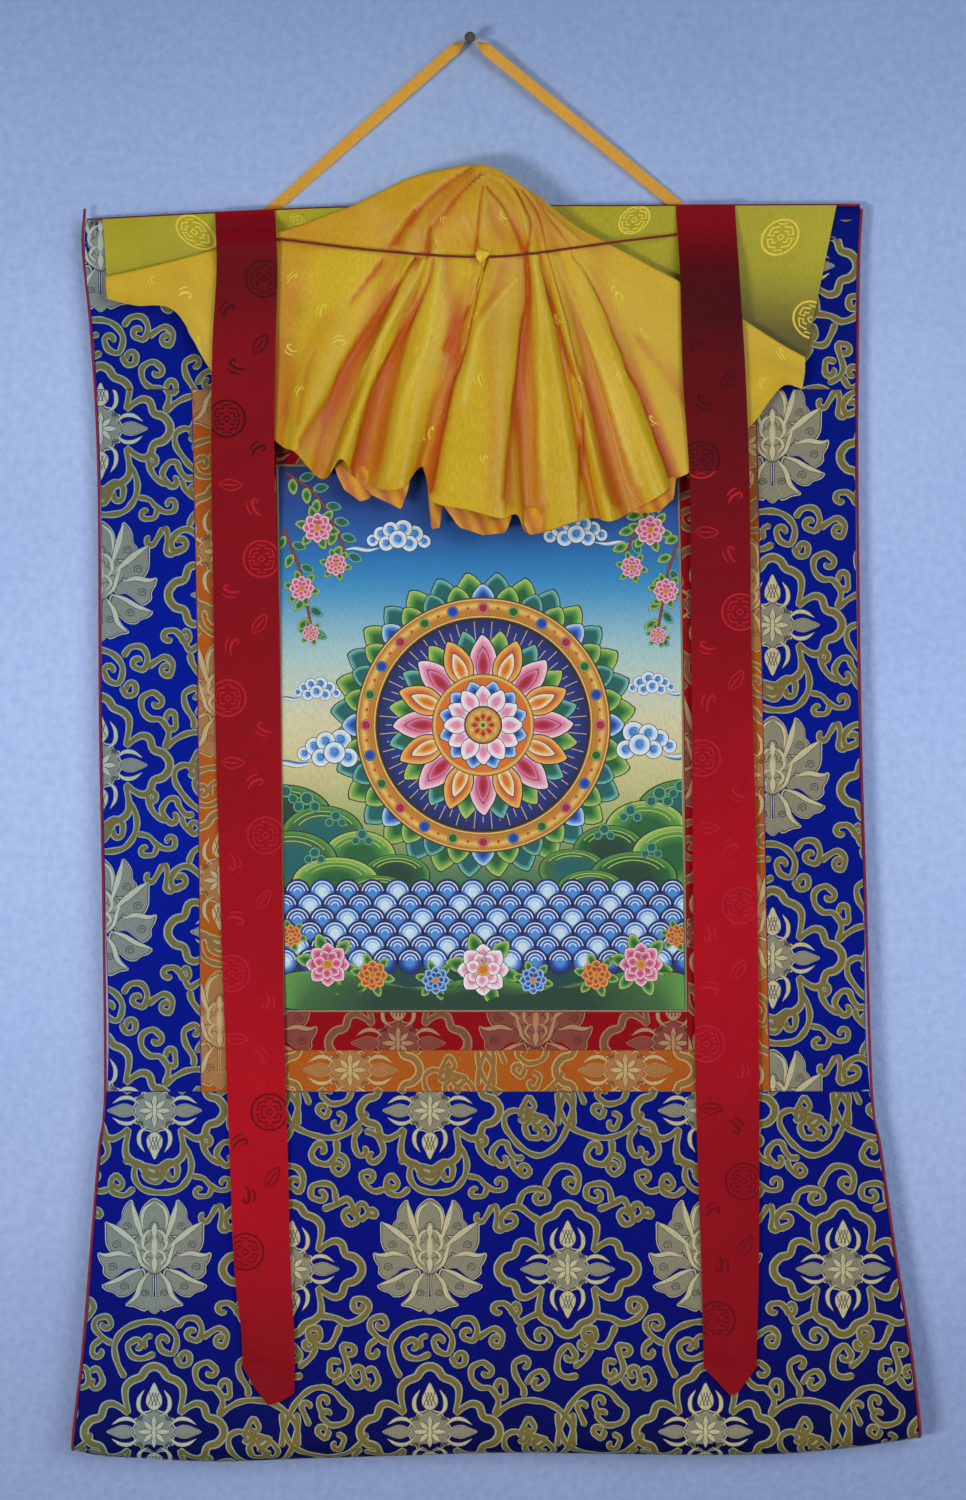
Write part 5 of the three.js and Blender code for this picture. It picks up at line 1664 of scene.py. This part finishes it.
def cloth_uv(middle):
    """Place on the flat cloth: distances along the rows and up the columns, added up."""
    across = np.linalg.norm(np.diff(middle, axis=1, prepend=middle[:, :1]), axis=-1)
    along = np.linalg.norm(np.diff(middle, axis=0, prepend=middle[:1]), axis=-1)
    u = np.cumsum(across, axis=1)
    v = np.cumsum(along, axis=0)
    return np.stack([np.broadcast_to(u.mean(0), u.shape), np.broadcast_to(v.mean(1)[:, None], v.shape)], -1)


def stroke_fields(x, z):
    """Depth, painted fold shade and painted highlight at each place: each follows exp(-(d / w)^2),
    with d the distance to a stroke and w its half width there. A dark fold is steep on its left side
    and soft on its right: the cross product of its direction and the way to it tells the sides apart."""
    depth = np.zeros(x.shape)
    dark = np.zeros(x.shape)
    light = np.zeros(x.shape)
    for deep, first, last, share, points in VEIL_STROKES:
        turns = np.linspace(0, len(points) - 1, 60)
        line = by_length(smooth(turns, np.arange(len(points)), points), 60)
        gap = np.hypot(x[..., None] - line[:, 0], z[..., None] - line[:, 1])
        nearest = gap.argmin(-1)
        width = mix(first, last, nearest / (len(line) - 1))
        way = np.gradient(line, axis=0)[nearest]
        aside = (z - line[nearest, 1]) * way[..., 0] - (x - line[nearest, 0]) * way[..., 1]
        if deep > 0:
            width = np.where(aside > 0, 1.5 * width, np.maximum(0.5 * width, 1.0))
        profile = np.exp(-((gap.min(-1) / width) ** 2))
        depth += deep * profile
        dark = np.maximum(dark, share * profile)
        light = np.maximum(light, -share * profile)
    return depth, dark, light


def rows_of(name):
    """The rows of one part of the veil. They are counted from the hem, so the last part is first."""
    order = list(reversed(VEIL_ROWS))
    start = sum(VEIL_ROWS[part] for part in order[: order.index(name)])
    return slice(start, start + VEIL_ROWS[name])


veil_middle = veil_surface()
out = skin(veil_middle, SATIN)[2]
x, z = veil_middle[..., 0], veil_middle[..., 2]
depth, dark, light = stroke_fields(x, z)
in_front = np.zeros(x.shape)
in_front[rows_of("fan")] = 1
in_front[rows_of("hood")] = 1
in_front[rows_of("ridge")] = np.linspace(1, 0, VEIL_ROWS["ridge"])[:, None]
from_cord = np.abs(z - np.interp(x, VEIL_CORD_ROUTE[:, 0], VEIL_CORD_ROUTE[:, 2]))
depth = np.where(depth < 0, depth * ease(from_cord, 1.5, 7), depth)
crumple = 0.5 * np.sin(x / 8 + z / 21) * np.sin(z / 15 - x / 29) * ease(from_cord, 2, 20)
veil_middle = veil_middle - out * ((depth + crumple) * in_front)[..., None]
front, back, out = skin(veil_middle, SATIN)
veil_uv = cloth_uv(veil_middle)
# painted shade in the valleys: where the satin lies further back than its neighbours across, it takes the
# deep orange of a shaded fold
neighbours = (np.roll(veil_middle, PLEAT_REACH, 1) + np.roll(veil_middle, -PLEAT_REACH, 1)) / 2
valley_shade = np.clip((veil_middle[..., 1] - neighbours[..., 1]) / 5, 0, 0.7)
valley_shade[:, :PLEAT_REACH] = 0
valley_shade[:, -PLEAT_REACH:] = 0
# painted shade of the valleys and the fold strokes, on the front layers only
shade = np.clip(valley_shade * 0.9 + dark * 0.95, 0, 1) * in_front
# the satin's yellow; deep, the painted shade of folds; pale, the painted highlight of ridges; tan, mixed in
# above the cord; the back layer's greener yellow, and the painted shadow on it
satin, deep, pale, tan, behind, painted_shadow = tints([
    (214, 175, 32), (190, 88, 16), (232, 208, 74), (206, 136, 28), (176, 164, 22), (96, 84, 20),
])
over_cord = ease(z, -168, -158) * 0.45 * in_front
veil_dye_and_painted_light = mix(satin, pale, (light * in_front)[..., None])
veil_dye_and_painted_light = mix(veil_dye_and_painted_light, tan, over_cord[..., None])
veil_dye_and_painted_light = mix(veil_dye_and_painted_light, deep, shade[..., None])
# painted shadow: the back layer darkens below the cord, under the front layer
back_layer_shaded = mix(behind, painted_shadow, ease(z, -165, -235)[..., None])
veil_dye_and_painted_light = mix(back_layer_shaded, veil_dye_and_painted_light, ease(in_front, 0, 1)[..., None])
veil = dress(
    add_sheet("veil_satin", front, back, [VEIL_YELLOW, VEIL_YELLOW], veil_uv, veil_dye_and_painted_light),
    "yellow_satin",
    "veil",
)

# %% Where the hem shows its underside
# the small fold over the cord lies before this depth, and the others behind it
IN_FRONT_OF_CORD = -42.5
# depth, then the outline of each part of the hem that hangs out behind the front folds
UNDERFOLDS = shapes("""
-43.3: 4,-166 8,-164 16,-166 13,-170 8,-174 5,-171
-31: -104,-321 -100,-334 -95,-344 -83,-353 -76,-351 -71,-340 -73,-324
-33: -84,-337 -75,-348 -64,-353 -52,-359 -47,-345 -44,-332 -79,-329
-34: -37,-324 -32,-338 -31,-354 -29,-374 -23,-373 -20,-352 -19,-334
-40: -25,-345 -19,-358 -8,-373 10,-379 27,-377 32,-364 14,-352 -10,-341
-40: 38,-358 40,-369 45,-379 60,-376 77,-370 82,-358
-33: 112,-350 116,-358 127,-362 143,-361 154,-351 156,-334 138,-338""")


def underfold(depth, outline):
    """A piece of hem with straight edges that bulges a little towards the front."""
    edge = by_length([*outline, outline[0]], 44)[:-1]
    shares = np.array([1.0, 0.9, 0.75, 0.55, 0.3])
    points, faces, tones = patch(edge, [0] * 6, 0.0, 1.6, shares, smoothed=False)
    return np.stack([points[:, 0], depth - points[:, 2], points[:, 1]], 1), faces, tones


points, faces, tones = gather([underfold(*row) for row in UNDERFOLDS])
# painted pleat shade: stripes across each piece of hem turn from the orange of a shaded hollow to the yellow
# of a lit rim; the small fold in front of the cord is a pale yellow
pleat = 0.5 + 0.5 * np.sin(0.5 * points[:, 0] + 0.22 * points[:, 2])
hollow_shade, rim, over_cord = tints([(190, 98, 6), (222, 158, 22), (230, 194, 40)])
under_dye_with_shade = mix(hollow_shade, rim, pleat[:, None])
under_dye_with_shade[points[:, 1] < IN_FRONT_OF_CORD] = over_cord
veil_underside = dress(
    add_mesh("veil_underside", points, [faces], [VEIL_YELLOW], uv=points[:, [0, 2]], dye=under_dye_with_shade),
    "yellow_satin",
)
print("parts of the hem seen from below:", len(UNDERFOLDS))

# %% The veil's damask
# x, z and size of each sign on the back layer, then x, z, turn and size of each one in front
BEHIND_SIGNS = listed("-209,-146,1 -130,-141,0.5 125,-136,0.9 236,-154,1 277,-214,1")
FRONT_SIGNS = listed("""
-133,-184,0.4,0.9 -112,-208,1.2,0.8 -136,-236,2.4,1 -96,-232,0.2,0.8 -128,-270,0.9,0.9 -88,-290,2,0.8
-40,-240,1.3,0.7 -30,-300,1.5,0.8 4,-214,1.4,0.7 8,-262,1.6,0.8 12,-322,1.2,0.8 66,-214,2.2,0.7
84,-262,1.8,0.8 112,-196,0.6,1 131,-226,2.6,0.9 116,-258,0.5,0.8 138,-290,1.9,0.9 -215,-196,0.3,0.9
-240,-184,1.6,0.7 -206,-232,2.2,0.8 222,-262,0.7,0.8 236,-240,2,0.8 -20,-140,1,0.6 24,-138,2.2,0.6""")
signs = [on_folds(fret_medallion(MEDALLION_RADIUS * size), front, out, (x, z), rows_of("back"))
         for x, z, size in BEHIND_SIGNS]
shown = slice(0, rows_of("hood").stop)
for number, (x, z, turn, size) in enumerate(FRONT_SIGNS):
    sign = curl(turn, size * (0.9 if number % 2 else 0.7))
    signs.append(on_folds(sign, front, out, (x, z), shown))
points, faces, tones = gather(signs)
sign_dye = np.tile(tints([(232, 204, 60)]), (len(points), 1))
veil_damask = dress(
    add_mesh("veil_damask", points, [faces], [VEIL_YELLOW], uv=points[:, [0, 2]], dye=sign_dye),
    "yellow_satin",
)
print("signs on the veil:", len(signs), "with", len(faces), "triangles")

# %% [markdown]
# ## The ribbons
# Each ribbon is a long strip of red damask. It hangs from the top edge, comes out over the veil and
# falls back in front of the brocade, down to a folded point. The table of depths gives the side
# view, and the table of edges the front view.

# %% The two ribbons
RIBBON = 1.2
RIBBON_TOP_DROP = 1.2
# edges: height, left and right x. tip: share of the width, height. hang: height, depth.
# red: height, strength of the red dye with painted shade and light along it. medallions: x, height.
LEFT_RIBBON = {
    "edges": listed("""
-131,-194,-148.3 -154,-192,-146.3 -240,-195,-147 -336,-196,-148 -390,-195.5,-146 -572,-192,-143
-765,-185.5,-140.5 -850,-182,-138 -951,-177,-135 -984,-173,-133 -1037,-172.5,-133"""),
    "tip": listed("0,-1008 0.25,-1024 0.5,-1037 0.75,-1034 1,-1028"),
    "hang": listed("""
-129,-14.5 -137,-17 -145,-26 -153,-30.4 -180,-30.6 -300,-29.6 -318,-28 -350,-23.5 -400,-19.6 -540,-19
-800,-22.8 -1037,-28"""),
    "red": listed("-140,144 -165,116 -235,134 -427,140 -655,168 -883,182 -997,148 -1040,140"),
    "medallions": listed("""
-155.8,-184.68 -183.92,-290.32 -158.08,-395.96 -183.92,-501.6 -155.04,-605.72 -180.88,-710.6
-152,-815.48 -170.24,-921.12"""),
}
RIGHT_RIBBON = {
    "edges": listed("""
-128,156.6,201.4 -178,159,204 -257,161,208.5 -331,166,211.5 -463,168,213.8 -680,169.6,218.6
-831,172,219.4 -924,175,219 -1007,177,217 -1029,177.2,216.6"""),
    "tip": listed("0,-1009 0.25,-1019 0.5,-1029.5 0.65,-1028 1,-1009"),
    "hang": listed("""
-127,-14.5 -140,-17.5 -152,-20.2 -185,-28 -215,-30 -320,-30 -342,-28.6 -375,-24 -425,-19.8 -540,-19.2
-800,-22.8 -1029,-27.6"""),
    "red": listed("-140,138 -170,98 -260,100 -427,136 -655,186 -883,154 -1040,146"),
    "medallions": listed("""
193.8,-206.72 174.8,-321.48 205.2,-436.24 176.32,-547.2 205.2,-658.92 179.36,-763.8 207.48,-867.92
186.96,-972.8"""),
}
RIBBON_STRAIGHT = -970.0


def ribbon_depth(table, x, z):
    """The side view, with slow ripples along the ribbon and small creases near its tip."""
    across = (x - np.interp(z, table["edges"][::-1, 0], table["edges"][::-1, 1:].mean(1))) / 23
    ripple = 0.5 * np.sin(z / 41) * np.sin(z / 17 + 2 * across) * ease(-z, 420, 560)
    tip = 1.3 * np.sin(z / 5.5 + 1.5 * across) * ease(-z, 985, 1012)
    return smooth(z, table["hang"][:, 0], table["hang"][:, 1]) - ripple - tip


def ribbon_surface(table, rows=230, columns=13):
    """Rows at equal steps along the side view down to RIBBON_STRAIGHT, and from there each column
    runs straight to its own place on the tip."""
    hang = table["hang"]
    heights = np.linspace(hang[0, 0], RIBBON_STRAIGHT, 2000)
    side = np.stack([smooth(heights, hang[:, 0], hang[:, 1]), heights], 1)
    heights = by_length(side, rows)[:, 1]
    u = np.linspace(0, 1, columns)
    tip = np.interp(u, table["tip"][:, 0], table["tip"][:, 1])
    z = heights[:, None] + 0 * u
    end = mix(RIBBON_STRAIGHT, tip[None], np.linspace(0, 1, 16)[1:, None])
    z = np.concatenate([z, end])
    edges = table["edges"]
    top_x = mix(edges[0, 1], edges[0, 2], u)
    z[0] = top_edge(top_x) - RIBBON_TOP_DROP
    x = mix(smooth(z, edges[:, 0], edges[:, 1]), smooth(z, edges[:, 0], edges[:, 2]), u)
    return np.stack([x, ribbon_depth(table, x, z), z], -1)[::-1]


def ribbon_front(table):
    """Where the ribbon's front lies: half its thickness before its middle, measured square to the
    slope of the side view."""
    def front(x, z, lift):
        slope = ribbon_depth(table, x, z + 0.5) - ribbon_depth(table, x, z - 0.5)
        square = np.sqrt(1 + slope**2)
        return np.stack([x, ribbon_depth(table, x, z) - (RIBBON / 2 + lift) * square, z], -1)
    return front


def ribbon_signs(table):
    """A medallion at each place of the table, and two cloud signs and a leaf between each pair."""
    places = table["medallions"]
    parts = [moved(fret_medallion(), *place) for place in places]
    for number, (here, ahead) in enumerate(zip(places[:-1], places[1:])):
        side = 1 if here[0] > ahead[0] else -1
        middle = (here + ahead) / 2
        parts.append(moved(curl(0.6 * side + number, 0.9), middle[0] - 12 * side, middle[1] + 30))
        parts.append(moved(leaf_sign(0.5 * side, 0.9), middle[0] + 11 * side, middle[1] + 3))
        parts.append(moved(curl(2.4 - 0.7 * number, 0.95), middle[0] - 8 * side, middle[1] - 12))
    return gather(parts)


# part of the ribbon's length, from and to a height, and the colour of its signs, a painted sheen
# that makes them dark in the upper and lower parts and light in the middle
RIBBON_SIGN_SHEEN = [("upper", -330, -150, (74, 5, 14)), ("middle", -790, -330, (190, 28, 46)),
                ("lower", -985, -790, (112, 6, 18))]
ribbons = {}
for name, table in (("ribbon_left", LEFT_RIBBON), ("ribbon_right", RIGHT_RIBBON)):
    middle = ribbon_surface(table)
    front, back, out = skin(middle, RIBBON)
    # the red dye carries painted shade and light, read by height along the ribbon
    heights, strength = table["red"].T
    shaded_reds = tints([(red, 5, red / 7) for red in strength])
    piece = add_sheet(name + "_damask", front, back, [RIBBON_RED, RIBBON_BACK], cloth_uv(middle),
                      np.clip(smooth(middle[..., 2], heights, shaded_reds), 0, 1))
    ribbons[name] = dress(piece, "red_damask", name)
    west, east = (reader(table["edges"], side) for side in (1, 2))
    for part, low, high, dye in RIBBON_SIGN_SHEEN:
        ribbons[f"{name}_{part}"] = lay(
            f"{name}_{part}_signs", ribbon_signs(table), tints([dye]),
            (west, east), (low, high), ribbon_front(table), RIBBON_RED, "red_damask",
        )

# %% [markdown]
# ## The tape and the nail
# The tape is folded flat, faces the front along its legs and turns flat onto the shank. The nail
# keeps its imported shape, which is already right, and gets a worn steel finish.

# %% The hanging tape
NAIL_SHANK = 1.7
TAPE = {"thickness": 1.0, "width": 8.6, "left": -162.5, "right": 169.0, "tuck": 9.0, "foot_y": -2.1,
        "crest_y": -10.5, "turn": 16.0}


def tape_line():
    """From the left foot straight up to the shank, round it, and down to the right foot."""
    bend = NAIL_SHANK + GAP + TAPE["thickness"] / 2
    halves = []
    for side, foot_x in ((-1, TAPE["left"]), (1, TAPE["right"])):
        foot = np.array([foot_x, float(top_edge(foot_x)) - TAPE["tuck"]])
        slope = math.atan2(-foot[1], abs(foot[0]))
        touch = np.array([side * bend * math.sin(slope), bend * math.cos(slope)])
        leg = mix(foot, touch, np.concatenate([np.linspace(0, 0.9, 60), np.linspace(0.91, 1, 24)])[:, None])
        turn = slope * np.linspace(1, 0, 9)[1:, None]
        arc = np.concatenate([side * bend * np.sin(turn), bend * np.cos(turn)], 1)
        halves.append(np.concatenate([leg, arc]))
    return np.concatenate([halves[0], halves[1][-2::-1]])


def tape_surface():
    """The width turns from upright to level as the tape comes within 16 mm of the nail, and the
    depth runs from the wall's side of the hem to the middle of the shank."""
    line = tape_line()
    ahead = unit(np.gradient(line, axis=0))
    away = np.linalg.norm(line, axis=1)
    turn = (1 - ease(away, 3, TAPE["turn"])) * math.pi / 2
    zero = np.zeros(len(line))
    width = np.stack([-ahead[:, 1] * np.cos(turn), np.sin(turn), ahead[:, 0] * np.cos(turn)], 1)
    along = np.stack([ahead[:, 0], zero, ahead[:, 1]], 1)
    out = np.cross(along, width)
    near = np.clip((1 - away / away[0] - 0.1) / 0.9, 0, 1)
    path = np.stack([line[:, 0], mix(TAPE["foot_y"], TAPE["crest_y"], near), line[:, 1]], 1)
    shares = np.linspace(-0.5, 0.5, 7)[:, None, None]
    middle = path[None] + width[None] * TAPE["width"] * shares
    crown = out[None] * 0.25 * (1 - (2 * shares) ** 2)
    half = out[None] * TAPE["thickness"] / 2
    uv = np.stack(np.broadcast_arrays(distance(path)[None], shares[..., 0] * TAPE["width"]), -1)
    return middle + half + crown, middle - half, uv


front, back, uv = tape_surface()
tape = dress(add_sheet("hanging_tape_folded", front, back, [TAPE_YELLOW, TAPE_YELLOW], uv),
             "yellow_tape", "hanging_tape")

# %% The nail's steel
def steel():
    """Dark, worn steel: noise brightens the colour and roughens it in patches."""
    material, tree, shader = new_material("worn_nail_steel")
    place = put(tree, "ShaderNodeTexCoord").outputs["Object"]
    noise = put(tree, "ShaderNodeTexNoise", {"Vector": place, "Scale": 900.0, "Detail": 5.0})
    tone = ramp(tree, noise.outputs["Fac"], [(0, colour(38, 36, 38)), (1, colour(112, 104, 98))])
    rough = sum_node(tree, "MULTIPLY_ADD", noise.outputs["Fac"], 0.4, 0.3)
    relief = put(tree, "ShaderNodeBump", {"Height": noise.outputs["Fac"], "Distance": 0.0003})
    tree.links.new(tone, shader.inputs["Base Color"])
    tree.links.new(rough, shader.inputs["Roughness"])
    tree.links.new(relief.outputs[0], shader.inputs["Normal"])
    shader.inputs["Metallic"].default_value = 0.85
    return material


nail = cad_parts["nail"]
nail.data.materials.clear()
nail.data.materials.append(steel())
print("nail finish:", nail.data.materials[0].name)

# %% [markdown]
# ## Wall, floor and light
# The scroll hangs on a pale bluish wall. The wall is one-sided: a camera behind it sees through it,
# so the back of the scroll can be looked at. The light comes from the lower left in front, as in
# the photograph, with a wide soft fill.

# %% Wall and floor
# height in metres, share of the plaster's colour there: painted light fall-off, darker at top and bottom
WALL_LIGHT_FALLOFF = [(-1.2, (0.6, 0.6, 0.62)), (-1.0, (0.72, 0.72, 0.74)), (-0.75, (0.97, 0.97, 0.98)),
               (-0.5, (1.04, 1.03, 1.03)), (-0.25, (0.9, 0.92, 0.93)), (0.03, (0.6, 0.64, 0.67))]


def plaster(name, light, dark, passes_light):
    """Plaster with a fine grain, with painted light fall-off: darker towards its top and bottom where
    the table says so. It can't be seen from behind. The wall also passes light, so that a lamp
    behind it lights the scroll's back."""
    material, tree, shader = new_material(name)
    place = put(tree, "ShaderNodeTexCoord").outputs["Object"]
    grain = put(tree, "ShaderNodeTexNoise", {"Vector": place, "Scale": 160.0, "Detail": 6.0})
    slow = put(tree, "ShaderNodeTexNoise", {"Vector": place, "Scale": 3.0, "Detail": 2.0})
    both = sum_node(tree, "MULTIPLY_ADD", slow.outputs["Fac"], 0.5, 0.0)
    both = sum_node(tree, "MULTIPLY_ADD", grain.outputs["Fac"], 0.5, both)
    tone = ramp(tree, both, [(0.35, dark), (0.65, light)])
    relief = put(tree, "ShaderNodeBump", {"Height": grain.outputs["Fac"], "Distance": 0.002})
    tree.links.new(relief.outputs[0], shader.inputs["Normal"])
    shader.inputs["Roughness"].default_value = 0.9
    height = put(tree, "ShaderNodeSeparateXYZ", {0: place}).outputs["Z"]
    low = WALL_LIGHT_FALLOFF[0][0]
    span = WALL_LIGHT_FALLOFF[-1][0] - low
    share = sum_node(tree, "MULTIPLY_ADD", height, 1 / span, -low / span)
    falloff = ramp(tree, share, [((at - low) / span, (*shade, 1)) for at, shade in WALL_LIGHT_FALLOFF])
    shaded = put(tree, "ShaderNodeVectorMath", {0: tone, 1: falloff}, operation="MULTIPLY")
    tree.links.new(shaded.outputs[0], shader.inputs["Base Color"])
    clear = put(tree, "ShaderNodeBsdfTransparent")
    open_side = put(tree, "ShaderNodeNewGeometry").outputs["Backfacing"]
    if passes_light:
        shadow = put(tree, "ShaderNodeLightPath").outputs["Is Shadow Ray"]
        open_side = sum_node(tree, "MAXIMUM", open_side, shadow)
    either = put(tree, "ShaderNodeMixShader", {0: open_side})
    tree.links.new(shader.outputs[0], either.inputs[1])
    tree.links.new(clear.outputs[0], either.inputs[2])
    tree.links.new(either.outputs[0], tree.nodes["Material Output"].inputs["Surface"])
    return material


def add_quad(name, corners, material):
    """One flat face through four corners in metres."""
    quad = add_mesh(name, np.array(corners) / MM, [np.array([[0, 1, 2, 3]])], [material])


WALL_Y = 0.001
FLOOR_Z = -1.3
add_quad("wall", [(-3, WALL_Y, FLOOR_Z), (3, WALL_Y, FLOOR_Z), (3, WALL_Y, 1.6), (-3, WALL_Y, 1.6)],
         plaster("pale_wall", colour(192, 214, 254), colour(172, 194, 240), True))
add_quad("floor", [(-3, -4, FLOOR_Z), (3, -4, FLOOR_Z), (3, 3, FLOOR_Z), (-3, 3, FLOOR_Z)],
         plaster("pale_floor", colour(205, 205, 205), colour(195, 195, 195), False))
print("wall and floor are set")

# %% Lights
def soft_light(name, place, aim, size, power, tint):
    """A square lamp that faces a point."""
    data = bpy.data.lights.new(name, "AREA")
    data.size = size
    data.energy = power
    data.color = tint
    lamp = bpy.data.objects.new(name, data)
    place, aim = np.array(place), np.array(aim)
    away = place - aim
    lamp.location = place
    level = math.hypot(away[0], away[1])
    lamp.rotation_euler = (math.atan2(level, away[2]), 0, math.atan2(away[0], -away[1]))
    bpy.context.scene.collection.objects.link(lamp)


MIDDLE = (0.0, 0.0, -0.6)
soft_light("key", (-1.5, -2.6, -1.3), MIDDLE, 0.9, 80, (1.0, 0.98, 0.97))
soft_light("fill", (1.6, -2.8, 0.4), MIDDLE, 2.0, 44, (0.9, 0.94, 1.0))
soft_light("behind", (0.9, 2.8, 0.3), MIDDLE, 2.0, 60, (0.95, 0.97, 1.0))
world = bpy.data.worlds.new("room")
world.use_nodes = True
world.node_tree.nodes["Background"].inputs[0].default_value = (0.55, 0.62, 0.78, 1)
world.node_tree.nodes["Background"].inputs[1].default_value = 0.28
bpy.context.scene.world = world
bpy.context.scene.view_settings.view_transform = "Standard"

# %% [markdown]
# ## Sheets and sizes
# Each side panel's width at its middle, the painting's width and each ribbon's sign pieces are
# worked out here.


for name, left, right, low, high, *_ in SIDE_PANELS:
    middle = (low + high) / 2
    float(right(middle) - left(middle))
float(PAINT_RIGHT(-530.0) - PAINT_LEFT(-530.0))
for name, width, length in (("ribbon_left", 46, 935), ("ribbon_right", 45, 930)):
    signs = [ribbons[f"{name}_{part}"] for part, *_ in RIBBON_SIGN_SHEEN]
